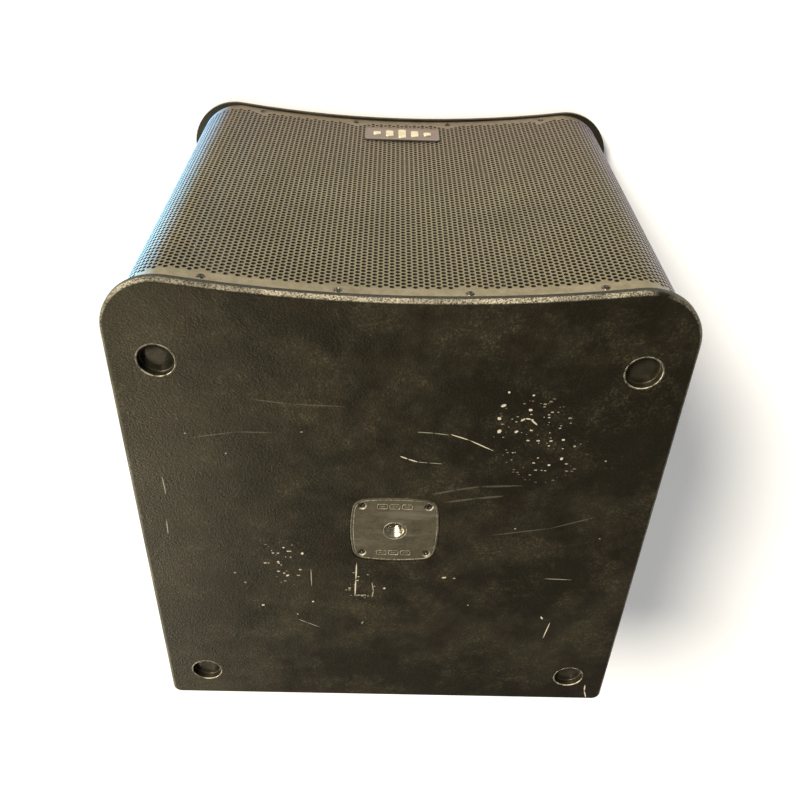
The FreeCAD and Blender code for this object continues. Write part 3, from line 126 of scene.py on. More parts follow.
# ---------------------------------------------------------------- node trees
class Surface:
    """One material, with short calls that write its node tree."""

    def __init__(self, name, **sockets):
        self.material = bpy.data.materials.new(name)
        self.material.use_nodes = True
        self.tree = self.material.node_tree
        self.tree.nodes.clear()
        self.shader = self.tree.nodes.new("ShaderNodeBsdfPrincipled")
        output = self.tree.nodes.new("ShaderNodeOutputMaterial")
        self.tree.links.new(self.shader.outputs[0], output.inputs["Surface"])
        for socket, value in sockets.items():
            self.shader.inputs[socket.replace("_", " ")].default_value = value
        self.place = self.add("TexCoord").outputs["Object"]
        self.last_bump = None

    def add(self, kind, inputs=(), **settings):
        node = self.tree.nodes.new("ShaderNode" + kind)
        for key, value in settings.items():
            setattr(node, key, value)
        for key, value in dict(inputs).items():
            self.put(node.inputs[key], value)
        return node

    def put(self, socket, value):
        if isinstance(value, bpy.types.NodeSocket):
            self.tree.links.new(value, socket)
        elif isinstance(value, tuple) and socket.type == "RGBA":
            socket.default_value = (*value, 1) if len(value) == 3 else value
        else:
            socket.default_value = value

    def set(self, name, value):
        self.put(self.shader.inputs[name], value)

    def at(self, move=(0, 0, 0), scale=(1, 1, 1), turn=(0, 0, 0)):
        """The surface's own coordinates, moved, turned and scaled."""
        inputs = {"Vector": self.place, "Location": move, "Rotation": turn, "Scale": scale}
        return self.add("Mapping", inputs).outputs[0]

    def noise(self, size, detail=3.0, rough=0.55, where=None, twist=0.0):
        """Cloudy noise whose features are about `size` metres across."""
        inputs = {"Vector": where or self.place, "Scale": 1 / size, "Detail": detail}
        node = self.add("TexNoise", {**inputs, "Roughness": rough, "Distortion": twist})
        return node.outputs[0]

    def cells(self, size, feature="F1", where=None, spread=1.0):
        """Distance to the nearest cell point, and the cell's own random colour."""
        inputs = {"Vector": where or self.place, "Scale": 1 / size, "Randomness": spread}
        node = self.add("TexVoronoi", inputs, feature=feature)
        return node.outputs["Distance"], node.outputs["Color"] if feature == "F1" else None

    def math(self, operation, a, b=0.0, clamp=False):
        node = self.add("Math", operation=operation, use_clamp=clamp)
        self.put(node.inputs[0], a)
        self.put(node.inputs[1], b)
        return node.outputs[0]

    def times(self, a, b):
        return self.math("MULTIPLY", a, b)

    def absolute(self, value):
        return self.math("ABSOLUTE", value)

    def span(self, value, low, high, new_low=0.0, new_high=1.0):
        """Carry a value from one range over to another."""
        inputs = {"Value": value, "From Min": low, "From Max": high}
        return self.add("MapRange", {**inputs, "To Min": new_low, "To Max": new_high}).outputs[0]

    def mix(self, share, a, b, how="MIX"):
        node = self.add("Mix", data_type="RGBA", blend_type=how)
        self.put(node.inputs[0], share)
        self.put(node.inputs[6], a)
        self.put(node.inputs[7], b)
        return node.outputs[2]

    def mottle(self, share, colour, low, high):
        """Two shades of one colour."""
        return self.mix(share, shade(colour, low), shade(colour, high))

    def axes(self, where=None):
        node = self.add("SeparateXYZ", {"Vector": where or self.place})
        return node.outputs[0], node.outputs[1], node.outputs[2]

    def coat(self, colour, pattern, roughness, relief, depth):
        """Finish with a colour, a roughness that follows a pattern, and a relief."""
        self.set("Base Color", colour)
        self.set("Roughness", self.span(pattern, 0.3, 0.7, *roughness))
        self.bump(relief, depth)
        return self.material

    def facing(self):
        """How far the surface faces along each axis."""
        return self.axes(self.add("NewGeometry").outputs["Normal"])

    def bump(self, height, depth, strength=1.0):
        """Raise the surface by up to `depth` metres where height is 1."""
        node = self.add("Bump", {"Height": height, "Distance": depth, "Strength": strength})
        if self.last_bump:
            self.put(node.inputs["Normal"], self.last_bump)
        self.last_bump = node.outputs[0]
        self.set("Normal", self.last_bump)


def shade(colour, factor):
    return tuple(min(1.0, c * factor) for c in colour)


def dusty(s, colour, amount=0.35, dust=(0.16, 0.145, 0.12), size=0.09):
    """Thin uneven dust, more of it on faces that look up, with fine pale specks."""
    cloud = s.span(s.noise(size, 6, 0.65), 0.42, 0.75)
    up = s.span(s.facing()[2], -0.2, 1.0, 0.25, 1.0)
    film = s.times(s.times(cloud, up), amount)
    colour = s.mix(film, colour, dust)
    distance, tint = s.cells(0.0065)
    speck = s.math("LESS_THAN", distance, s.span(s.axes(tint)[0], 0.72, 1.0, 0.0, 0.075))
    return s.mix(s.times(speck, 0.55), colour, dust)


# ---------------------------------------------------------------- materials
def moulded(name, colour, grain, depth, rough, dust=0.25):
    """Injection-moulded plastic with a fine leathery grain."""
    s = Surface(name)
    base = s.mottle(s.span(s.noise(0.05, 5), 0.3, 0.7), colour, 0.78, 1.25)
    s.set("Base Color", dusty(s, base, dust))
    s.set("Roughness", s.span(s.noise(0.012, 5), 0.3, 0.7, rough - 0.09, rough + 0.12))
    s.bump(s.cells(grain, "SMOOTH_F1")[0], depth)
    s.bump(s.noise(0.02, 2), 0.0002, 0.25)
    return s.material


def rubber(name, colour):
    """Matt rubber with a dry bloom and a fine pitted skin."""
    s = Surface(name, Specular_IOR_Level=0.3)
    bloom = s.span(s.noise(0.03, 6, 0.7), 0.45, 0.72)
    base = dusty(s, s.mix(bloom, colour, shade(colour, 2.1)), 0.3)
    return s.coat(base, s.noise(0.006, 4), (0.68, 0.9), s.noise(0.0006, 3, 0.7), 0.00007)


def coated(name, colour, rough, peel, depth, dust=0.2, metallic=0.0):
    """Powder-coated metal: orange peel, tiny pits and slightly uneven gloss."""
    s = Surface(name, Metallic=metallic)
    cloud = s.span(s.noise(0.07, 6, 0.6), 0.3, 0.72)
    grain = s.span(s.noise(0.0007, 2), 0.35, 0.65)
    base = s.mottle(cloud, colour, 0.8, 1.22)
    base = s.mix(s.times(grain, 0.35), base, shade(colour, 1.7))
    s.set("Base Color", dusty(s, base, dust))
    s.set("Roughness", s.span(s.noise(0.01, 4), 0.3, 0.7, rough - 0.08, rough + 0.1))
    s.bump(s.noise(peel, 2), depth)
    s.bump(s.span(s.cells(0.004)[0], 0.0, 0.12), 0.00004, 0.6)
    return s.material


def bare_metal(name, colour, along, rough, stain):
    """Bare metal with fine brushing along one axis, or all round, and dull stains."""
    s = Surface(name, Metallic=1.0)
    scale = {"x": (0.02, 1, 1), "z": (1, 1, 0.02), "round": (1, 1, 1)}[along]
    brushed = s.noise(0.0005, 4, 0.7, s.at(scale=scale))
    marks = s.span(s.noise(0.018, 7, 0.68), 0.46, 0.68)
    base = s.mottle(s.span(brushed, 0.3, 0.7), colour, 0.82, 1.12)
    s.set("Base Color", s.mix(s.times(marks, stain), base, shade(colour, 0.35)))
    gloss = s.span(brushed, 0.3, 0.7, rough - 0.08, rough + 0.12)
    s.set("Roughness", s.math("ADD", gloss, s.times(marks, 0.25), True))
    s.bump(brushed, 0.00001)
    return s.material


def streak(s, x, y, half_length, half_width, angle):
    """A pointed oval mark: 1 at its middle, 0 at its edge. Millimetres and degrees in the XY plane."""
    inputs = {
        "Vector": s.place,
        "Location": (x * MM, y * MM, TOP_Z),
        "Rotation": (0, 0, math.radians(angle)),
        "Scale": (half_length * MARK_SIZE, half_width * MARK_SIZE, 1.0),
    }
    mapping = s.add("Mapping", inputs, vector_type="TEXTURE")
    return s.add("TexGradient", {"Vector": mapping.outputs[0]}, gradient_type="SPHERICAL").outputs[1]


def line_streaks(points, width):
    """Streaks along a bent line through points in millimetres."""
    found = []
    for (ax, ay), (bx, by) in zip(points, points[1:]):
        length = math.hypot(bx - ax, by - ay)
        angle = math.degrees(math.atan2(by - ay, bx - ax))
        found.append(((ax + bx) / 2, (ay + by) / 2, length * 0.56, width, angle))
    return found


# Wear on the top panel: bent scratches (points, half width, strength) and chips, in millimetres.
SCRATCHES = [
    ([(-134, -175), (-139, -179), (-145, -178), (-153, -170)], 1.1, 1.0),
    ([(-58, -154), (-80, -146), (-107, -132)], 0.8, 0.9),
    ([(-21, -156), (-40, -155), (-56, -153)], 0.6, 0.45),
    ([(-3, -120), (-12, -116), (-23, -112)], 0.9, 0.85),
    ([(-23, -112), (-36, -111), (-52, -110)], 0.5, 0.5),
    ([(-43, -62), (-70, -70), (-98, -76), (-146, -79)], 1.6, 0.22),
    ([(-61, -50), (-95, -57), (-128, -62)], 1.8, 0.16),
    ([(46, 60), (47, 90), (48, 121)], 1.0, 0.85),
    ([(48, 121), (40, 120), (33, 120)], 1.0, 0.6),
    ([(26, 96), (24, 112), (26, 124)], 0.9, 0.5),
    ([(104, 72), (104, 104)], 0.7, 0.5),
    ([(272, -80), (271, -52)], 0.7, 0.35),
    ([(276, -10), (277, 15)], 0.7, 0.35),
    ([(-214, 168), (-209, 201)], 0.8, 0.9),
    ([(-200, 156), (-203, 161)], 1.3, 0.9),
    ([(-284, 306), (-285, 320), (-290, 336)], 1.0, 0.85),
    ([(123, 172), (112, 178), (96, 187)], 0.6, 0.45),
    ([(-195, 81), (-228, 82)], 0.7, 0.3),
    ([(160, -196), (120, -191), (60, -189)], 0.8, 0.14),
    ([(232, -140), (180, -150), (140, -150)], 0.9, 0.12),
    ([(-240, -30), (-190, -10), (-120, 4)], 1.1, 0.1),
]
CHIPS = [
    (-113, -196, 3.4, 2.0, 20, 1.0),
    (-110, -178, 2.6, 2.4, 0, 1.0),
    (-112, -160, 2.4, 3.2, -25, 0.95),
    (-131, -160, 2.6, 1.7, 30, 0.9),
    (-143, -191, 2.3, 1.9, 0, 0.8),
    (-117, -214, 1.5, 1.5, 0, 0.8),
    (-144, -211, 1.5, 1.3, 0, 0.7),
    (-185, -150, 1.9, 1.5, 0, 0.8),
    (-199, -141, 1.6, 1.6, 0, 0.6),
    (-187, -122, 1.8, 2.4, -20, 0.9),
    (-174, -112, 2.0, 1.5, 0, 0.8),
    (-160, -104, 1.8, 1.2, 10, 0.5),
    (137, 34, 1.6, 1.3, 0, 0.8),
    (114, 44, 1.9, 2.4, 0, 0.8),
    (145, 60, 1.7, 1.5, 0, 0.7),
    (134, 85, 2.6, 1.6, 40, 0.7),
    (201, 82, 1.5, 1.5, 0, 0.6),
    (189, 100, 1.5, 1.5, 0, 0.6),
    (169, 144, 2.0, 1.8, 0, 0.8),
    (103, 135, 1.5, 1.6, 0, 0.7),
    (10, 106, 1.7, 1.7, 0, 0.8),
    (-66, 83, 3.2, 1.5, 12, 0.7),
    (-79, 84, 1.8, 1.4, 0, 0.5),
    (38, 176, 3.0, 1.1, 60, 0.4),
    (-147, -8, 1.6, 1.3, 0, 0.5),
    (-101, 136, 1.2, 1.3, 0, 0.4),
    (124, 161, 1.6, 1.2, 30, 0.5),
    (195, -118, 1.3, 1.1, 0, 0.35),
    (108, -152, 1.5, 1.0, 0, 0.4),
    (238, -146, 1.2, 1.2, 0, 0.3),
    (-253, 6, 1.2, 1.0, 0, 0.3),
    (-238, -120, 1.3, 1.3, 0, 0.3),
]


def scuffs(s):
    """Where the top's paint is scraped through, from 0 to 1."""
    ragged = s.span(s.noise(0.0016, 3, 0.7), 0.3, 0.7, 0.0, 0.42)
    marks = [(m, strength) for points, width, strength in SCRATCHES for m in line_streaks(points, width)]
    marks += [(chip[:5], chip[5]) for chip in CHIPS]
    total = 0.0
    # Marks of about one strength are drawn together: strength shown, and the range it stands for.
    for strength, low, high in ((1.0, 0.7, 1.1), (0.5, 0.25, 0.7), (0.09, 0.0, 0.25)):
        group = 0.0
        for shape in (shape for shape, own in marks if low <= own < high):
            group = s.math("MAXIMUM", group, streak(s, *shape))
        mask = s.span(s.math("SUBTRACT", group, ragged), 0.0, 0.18, 0.0, strength)
        total = s.math("MAXIMUM", total, mask)
    # A scuffed patch holds many small nicks.
    for x, y, wide, deep in ((-160, -148, 46, 58), (138, 62, 34, 38), (38, 100, 26, 26)):
        patch = s.span(streak(s, x, y, wide, deep, 25), 0.0, 0.5)
        distance, tint = s.cells(0.0048, where=s.at(scale=(0.75, 1.3, 1)))
        nick = s.math("LESS_THAN", distance, s.span(s.axes(tint)[1], 0.55, 1.0, 0.0, 0.34))
        total = s.math("MAXIMUM", total, s.times(s.times(patch, nick), 0.75))
    return total


def cabinet_paint(name, worn_top=False):
    """Textured black paint over plywood, rubbed pale on its rounded edges; the pale edge colour is also a
    painted highlight, strongest on the front edges.
    """
    paint = (0.0062, 0.0051, 0.0028)
    s = Surface(name, Specular_IOR_Level=0.30, Specular_Tint=(1.0, 0.88, 0.62, 1))
    broad = s.span(s.noise(0.16, 6, 0.62), 0.34, 0.68)
    patch = s.span(s.noise(0.06, 5, 0.62), 0.45, 0.64, 0.12, 1.0)
    middle = s.span(s.noise(0.022, 6, 0.7), 0.34, 0.7)
    fine = s.span(s.noise(0.0022, 3, 0.6), 0.3, 0.7)
    red, green = (0.0110, 0.0062, 0.0036), (0.0062, 0.0068, 0.0034)
    hue = s.noise(0.045, 4, where=s.at((0.3, 0.1, 0)))
    base = s.mix(s.span(hue, 0.38, 0.62), red, green)
    base = s.mix(0.55, base, paint)
    base = s.mix(s.times(broad, 0.32), base, shade(paint, 1.8))
    grit = s.times(middle, s.span(s.noise(0.0034, 4, 0.75), 0.48, 0.62))
    base = s.mix(s.times(grit, patch), base, shade(paint, 12.0))
    base = s.mix(s.times(fine, 0.7), base, shade(paint, 0.2))
    base = dusty(s, base, 0.10, (0.15, 0.125, 0.075), 0.12)
    # bare is the wood in the scratches; rubbed is the edge colour, partly wear and partly a painted
    # highlight.
    bare, rubbed = (0.46, 0.41, 0.31), (0.47, 0.42, 0.31)
    # A roundover faces neither up nor sideways.
    level = s.absolute(s.facing()[2])
    edge = s.times(s.span(level, 0.985, 0.9), s.span(level, 0.02, 0.2))
    sparkle = s.span(s.noise(0.0018, 5, 0.75), 0.42, 0.56)
    long_patch = s.span(s.noise(0.06, 4), 0.3, 0.66)
    rub = s.times(edge, s.times(sparkle, long_patch))
    # The edges in front of the grille get the most: wear, and a painted highlight where the front lamp
    # catches them.
    base = s.mix(s.times(rub, s.span(s.axes()[1], -0.27, -0.325, 0.35, 1.0)), base, rubbed)
    gloss = s.span(s.noise(0.03, 5, 0.65), 0.3, 0.7, 0.34, 0.52)
    gloss = s.math("ADD", gloss, s.times(fine, 0.08))
    if worn_top:
        worn = scuffs(s)
        base = s.mix(worn, base, bare)
        gloss = s.math("ADD", gloss, s.times(worn, 0.2))
    s.set("Base Color", base)
    s.set("Roughness", gloss)
    s.bump(s.cells(0.0021, "SMOOTH_F1")[0], 0.00035, 0.9)
    s.bump(s.noise(0.0012, 3, 0.65), 0.0003, 0.7)
    s.bump(s.noise(0.035, 3), 0.0008, 0.4)
    return s.material


def grille_coat():
    """Dark bronze-grey powder coat, dusty."""
    colour = (0.150, 0.126, 0.067)
    tint = (1.0, 0.92, 0.72, 1)
    s = Surface("grille_powder_coat", Specular_IOR_Level=0.6, Metallic=0.25, Specular_Tint=tint)
    cloud = s.span(s.noise(0.09, 6, 0.6), 0.32, 0.7)
    streaks = s.span(s.noise(0.02, 5, 0.6, s.at(scale=(1, 1, 0.15))), 0.35, 0.7)
    grain = s.span(s.noise(0.0009, 3, 0.7), 0.32, 0.68)
    base = s.mottle(cloud, colour, 0.82, 1.2)
    base = s.mix(s.times(streaks, 0.4), base, (0.140, 0.110, 0.072))
    # The lower part of the sheet has gone browner.
    browner = s.span(s.axes()[2], 0.30, 0.05, 0.0, 0.75)
    base = s.mix(browner, base, (0.122, 0.082, 0.060))
    base = s.mix(s.times(grain, 0.5), base, shade(colour, 0.5))
    # The plain border above and below the perforation is rubbed paler.
    height = s.axes()[2]
    border = s.math("MAXIMUM", s.span(height, 0.521, 0.524), s.span(height, 0.031, 0.028))
    worn = s.times(border, s.span(s.noise(0.012, 6, 0.7), 0.4, 0.62))
    base = s.mix(s.times(worn, 0.45), base, (0.24, 0.21, 0.145))
    base = dusty(s, base, 0.18)
    return s.coat(base, s.noise(0.008, 4), (0.36, 0.52), s.noise(0.0011, 3), 0.00005)


def cup_finish():
    """Black moulded cup, coloured like the panel, its high rim rubbed pale."""
    colour = (0.0105, 0.0088, 0.0054)
    s = Surface("cup_plastic", Specular_IOR_Level=0.4, Specular_Tint=WARM_GLOSS)
    cloud = s.span(s.noise(0.012, 5), 0.3, 0.7)
    base = s.mottle(cloud, colour, 0.6, 1.6)
    base = dusty(s, base, 0.14, (0.15, 0.128, 0.085), 0.03)
    up = s.facing()[2]
    tilt = s.times(s.span(up, 0.985, 0.93), s.span(up, 0.02, 0.12))
    high = s.span(s.axes()[2], TOP_Z - 0.0016, TOP_Z - 0.0010)
    patchy = s.span(s.noise(0.007, 4, 0.65), 0.36, 0.56)
    rub = s.times(s.times(tilt, high), patchy)
    base = s.mix(rub, base, (0.55, 0.50, 0.37))
    return s.coat(base, s.noise(0.006, 4), (0.26, 0.44), s.cells(0.0012, "SMOOTH_F1")[0], 0.00012)


def hole_painted_shade():
    """Painted shade inside the punched holes and on the sheet's back: a near-black coat that stands for the
    shadow there.
    """
    s = Surface("grille_inner_painted_shade", Specular_IOR_Level=0.25)
    grain = s.span(s.noise(0.0009, 3, 0.7), 0.32, 0.68)
    # Near-black colour: painted shade, not the coat's own colour.
    base = s.mix(grain, (0.006, 0.005, 0.004), (0.018, 0.015, 0.010))
    return s.coat(base, s.noise(0.008, 4), (0.6, 0.8), s.noise(0.0011, 3), 0.00005)


def stained_ply_and_painted_shade():
    """Plywood stained black and kept near-black as painted shade for the inside seen through the grille:
    long grain with a few paler pores.
    """
    # Near-black colours: partly the black stain, partly painted shade inside the cabinet.
    face, edge = (0.010, 0.009, 0.008), (0.006, 0.0055, 0.005)
    s = Surface("inner_ply_stain_and_painted_shade", Specular_IOR_Level=0.3)
    grain = s.noise(0.004, 6, 0.65, s.at(scale=(1, 0.12, 0.08)), 0.6)
    figure = s.noise(0.03, 4, 0.6, s.at(scale=(1, 0.3, 0.12)))
    base = s.mix(s.span(grain, 0.35, 0.65), shade(face, 0.72), shade(face, 1.15))
    base = s.mix(s.times(s.span(figure, 0.4, 0.6), 0.4), base, edge)
    base = s.mix(s.times(s.span(s.noise(0.002, 4), 0.5, 0.62), 0.5), base, shade(face, 2.2))
    return s.coat(base, grain, (0.6, 0.8), grain, 0.0001)


def paper():
    """Black pressed pulp with short fibres, coated thinly."""
    s = Surface("cone_pulp", Specular_IOR_Level=0.25)
    fibres = s.noise(0.0012, 5, 0.75, twist=1.5)
    base = s.mix(s.span(fibres, 0.4, 0.65), (0.018, 0.017, 0.016), (0.055, 0.052, 0.048))
    s.set("Base Color", dusty(s, base, 0.15))
    s.set("Roughness", s.span(fibres, 0.3, 0.7, 0.68, 0.85))
    s.bump(fibres, 0.0002)
    s.bump(s.noise(0.006, 3), 0.0003, 0.4)
    return s.material


def cloth(name, colour, thread=0.0009):
    """Woven cloth stiffened with resin: two sets of threads that cross."""
    s = Surface(name, Sheen_Weight=0.2, Sheen_Roughness=0.5)
    x, _, z = s.axes()
    one, two = (s.math("SINE", s.times(along, math.tau / thread)) for along in (x, z))
    weave = s.span(s.times(one, two), -1, 1)
    base = s.mottle(weave, colour, 0.6, 1.35)
    base = s.mix(s.span(s.noise(0.02, 5), 0.45, 0.7, 0, 0.5), base, shade(colour, 0.5))
    return s.coat(base, s.noise(0.004, 3), (0.65, 0.82), weave, 0.00015)


def two_tone(name, pattern, split, colours, roughness, depth, scale=(1, 1, 1), **sockets):
    """One noise mixes two colours and also sets the roughness and the relief."""
    s = Surface(name, **sockets)
    noise = s.noise(*pattern, where=s.at(scale=scale))
    base = s.mix(s.span(noise, *split), *colours)
    return s.coat(base, noise, roughness, noise, depth)


def film():
    """Amber resin film with faint flow marks."""
    colours = (0.36, 0.19, 0.05), (0.58, 0.36, 0.12)
    sockets = {"Coat_Weight": 0.4, "Coat_Roughness": 0.2}
    pattern, flow = (0.008, 5), (1, 0.2, 1)
    return two_tone("amber_film", pattern, (0.35, 0.65), colours, (0.3, 0.45), 0.00005, flow, **sockets)


def thread_steel():
    """Worn steel of the pole thread, dull and bright in patches."""
    colours = (0.20, 0.175, 0.12), (0.66, 0.60, 0.46)
    pattern = (0.002, 5, 0.7)
    return two_tone("thread_steel", pattern, (0.36, 0.62), colours, (0.2, 0.38), 0.00006, Metallic=1.0)


def lens():
    """Green lamp lens, milky in its depth."""
    colours = (0.05, 0.42, 0.10), (0.12, 0.62, 0.20)
    milky = {"Subsurface_Weight": 0.3, "Subsurface_Scale": 0.002}
    glossy = {"Coat_Weight": 0.8, "Coat_Roughness": 0.05}
    pattern = (0.0015, 3)
    return two_tone("lamp_lens", pattern, (0.35, 0.65), colours, (0.1, 0.22), 0.00002, **milky, **glossy)


def ferrite():
    """Pressed and ground ceramic with small chips."""
    s = Surface("ferrite_ceramic")
    grit = s.noise(0.0008, 4, 0.7)
    chips = s.span(s.cells(0.006)[0], 0.05, 0.1)
    base = s.mix(s.span(grit, 0.35, 0.65), (0.055, 0.055, 0.060), (0.11, 0.11, 0.118))
    base = s.mix(chips, (0.18, 0.18, 0.19), base)
    return s.coat(base, grit, (0.55, 0.75), grit, 0.00012)


def copper():
    """A coil of fine enamelled wire, wound turn beside turn along the driver's axis."""
    s = Surface("copper_winding", Metallic=1.0)
    turns = s.math("SINE", s.times(s.axes()[1], math.tau / 0.0005))
    base = s.mix(s.span(turns, -1, 1), (0.32, 0.12, 0.05), (0.80, 0.40, 0.20))
    base = s.mix(s.span(s.noise(0.01, 4), 0.5, 0.7, 0, 0.4), base, (0.35, 0.16, 0.07))
    s.set("Base Color", base)
    s.set("Roughness", s.span(turns, -1, 1, 0.4, 0.25))
    s.bump(turns, 0.0001)
    return s.material


def circuit():
    """Green laminate with pale tracks and round solder joints."""
    s = Surface("board_laminate")
    grid = s.at(scale=(1, 0.01, 1))
    lanes = s.math("FRACT", s.times(s.noise(0.03, 1, where=grid), 26.0))
    track = s.span(s.absolute(s.math("SUBTRACT", lanes, 0.5)), 0.2, 0.26)
    base = s.mix(track, (0.030, 0.150, 0.070), (0.014, 0.085, 0.038))
    solder = s.math("LESS_THAN", s.cells(0.007, where=grid, spread=0.35)[0], 0.17)
    s.set("Base Color", s.mix(solder, base, (0.62, 0.62, 0.60)))
    s.set("Metallic", solder)
    s.set("Roughness", s.span(s.noise(0.006, 3), 0.3, 0.7, 0.3, 0.45))
    s.bump(s.math("MAXIMUM", track, solder), 0.0001)
    return s.material


def sleeve():
    """Shrunk plastic sleeve of a capacitor, with one pale stripe down its side."""
    s = Surface("capacitor_sleeve", Coat_Weight=0.5, Coat_Roughness=0.12)
    stripe = s.math("FRACT", s.times(s.axes()[0], 1 / 0.040))
    band = s.span(s.absolute(s.math("SUBTRACT", stripe, 0.5)), 0.09, 0.07)
    base = s.mix(s.span(s.noise(0.01, 4), 0.35, 0.65), (0.020, 0.026, 0.060), (0.038, 0.048, 0.095))
    base = s.mix(s.times(band, 0.7), base, (0.36, 0.37, 0.40))
    return s.coat(base, s.noise(0.004, 3), (0.25, 0.4), s.noise(0.003, 3), 0.00005)


def taped_coil():
    """Toroid wound under overlapping yellow tape."""
    s = Surface("taped_winding")
    x, _, z = s.axes(s.at((-0.075, 0, -0.192)))
    angle = s.math("ARCTAN2", z, x)
    laps = s.math("FRACT", s.times(angle, 36 / math.tau))
    lap = s.span(laps, 0.0, 0.12)
    base = s.mix(lap, (0.20, 0.13, 0.03), (0.55, 0.40, 0.10))
    base = s.mix(s.span(s.noise(0.01, 5), 0.45, 0.7, 0, 0.4), base, (0.35, 0.24, 0.06))
    return s.coat(base, s.noise(0.003, 3), (0.3, 0.5), laps, 0.0002)


def amp_coat():
    """Black powder coat with printed pale scales round the two dials and thin frames round the sockets."""
    colour = (0.026, 0.026, 0.027)
    s = Surface("amplifier_panel_coat", Specular_IOR_Level=0.5)
    cloud = s.span(s.noise(0.06, 6, 0.6), 0.3, 0.72)
    base = s.mottle(cloud, colour, 0.8, 1.3)
    base = s.mix(s.span(s.noise(0.0006, 2), 0.55, 0.7, 0, 0.35), base, shade(colour, 2.4))
    ink = None
    for _, x in DIALS:
        dx, _, dz = s.axes(s.at((-x, 0, -DIAL_LEVEL)))
        radius = s.math("SQRT", s.math("ADD", s.times(dx, dx), s.times(dz, dz)))
        angle = s.math("ARCTAN2", dx, dz)
        step = s.times(angle, 12 / math.tau)
        off = s.absolute(s.math("SUBTRACT", s.math("FRACT", s.math("ADD", step, 0.5)), 0.5))
        across = s.times(off, s.times(radius, math.tau / 12))
        tick = s.math("LESS_THAN", across, 0.00035)
        outside = s.math("GREATER_THAN", radius, 0.0108)
        band = s.times(outside, s.math("LESS_THAN", radius, 0.0134))
        shown = s.math("LESS_THAN", s.absolute(angle), 2.75)
        scale = s.times(s.times(tick, band), shown)
        ink = scale if ink is None else s.math("MAXIMUM", ink, scale)
    frames = ((0.085, 0.344, 0.046, 0.0205), (0.085, 0.294, 0.046, 0.0205), (0.072, 0.167, 0.054, 0.022))
    for x, z, half_x, half_z in frames:
        dx, _, dz = s.axes(s.at((-x, 0, -z)))
        far_x = s.math("SUBTRACT", s.absolute(dx), half_x)
        far_z = s.math("SUBTRACT", s.absolute(dz), half_z)
        off = s.absolute(s.math("MAXIMUM", far_x, far_z))
        ink = s.math("MAXIMUM", ink, s.math("LESS_THAN", off, 0.0003))
    outward = s.span(s.facing()[1], 0.9, 0.95)
    worn = s.span(s.noise(0.0012, 4, 0.7), 0.62, 0.5, 0.2, 1.0)
    ink = s.times(s.times(ink, outward), worn)
    base = s.mix(s.times(ink, 0.85), dusty(s, base, 0.22), (0.72, 0.72, 0.70))
    return s.coat(base, s.noise(0.01, 4), (0.42, 0.58), s.noise(0.0009, 3), 0.00008)


def plate_finish():
    """Grey painted casting, rubbed and smeared, with a fine cast grain."""
    colour = (0.050, 0.043, 0.027)
    s = Surface("pole_plate_paint", Specular_IOR_Level=0.5, Metallic=0.1, Specular_Tint=WARM_GLOSS)
    cloud = s.span(s.noise(0.02, 6, 0.7), 0.35, 0.7)
    base = s.mottle(cloud, colour, 0.72, 1.35)
    base = s.mix(s.span(s.noise(0.0011, 3, 0.7), 0.5, 0.68, 0, 0.5), base, shade(colour, 2.2))
    # Wiped dirt runs across the middle in soft bands.
    smear = s.span(s.noise(0.02, 4, 0.6, s.at(turn=(0, 0, 0.25), scale=(0.18, 1, 1))), 0.5, 0.68, 0, 0.4)
    base = s.mix(smear, base, (0.16, 0.15, 0.118))
    up = s.facing()[2]
    rim = s.times(s.span(up, 0.97, 0.8), s.span(up, 0.05, 0.3))
    rim = s.times(rim, s.span(s.noise(0.004, 5, 0.7), 0.4, 0.58))
    base = s.mix(s.times(rim, 0.75), base, (0.42, 0.39, 0.31))
    s.set("Base Color", base)
    s.set("Roughness", s.span(s.noise(0.006, 5), 0.3, 0.7, 0.38, 0.55))
    s.bump(s.noise(0.0009, 3, 0.65), 0.00009)
    s.bump(s.noise(0.012, 3), 0.0003, 0.3)
    return s.material


def screw_finish(name, colour, worn, amount):
    """Blackened screw rubbed to bright metal in patches."""
    s = Surface(name, Metallic=0.85)
    rub = s.span(s.noise(0.0016, 5, 0.72), 0.46, 0.6, 0, amount)
    base = s.mottle(s.span(s.noise(0.004, 4), 0.35, 0.65), colour, 0.75, 1.4)
    base = s.mix(rub, base, worn)
    return s.coat(base, s.noise(0.0012, 4), (0.22, 0.42), s.noise(0.0007, 3), 0.00004)


def badge_finish():
    """Bronze anodised plate, finely brushed across."""
    colour = (0.155, 0.105, 0.078)
    s = Surface("badge_anodised", Metallic=0.5)
    brushed = s.noise(0.0006, 4, 0.7, s.at(scale=(0.03, 1, 1)))
    base = s.mottle(s.span(brushed, 0.3, 0.7), colour, 0.75, 1.2)
    base = dusty(s, base, 0.3)
    return s.coat(base, brushed, (0.3, 0.45), brushed, 0.00002)


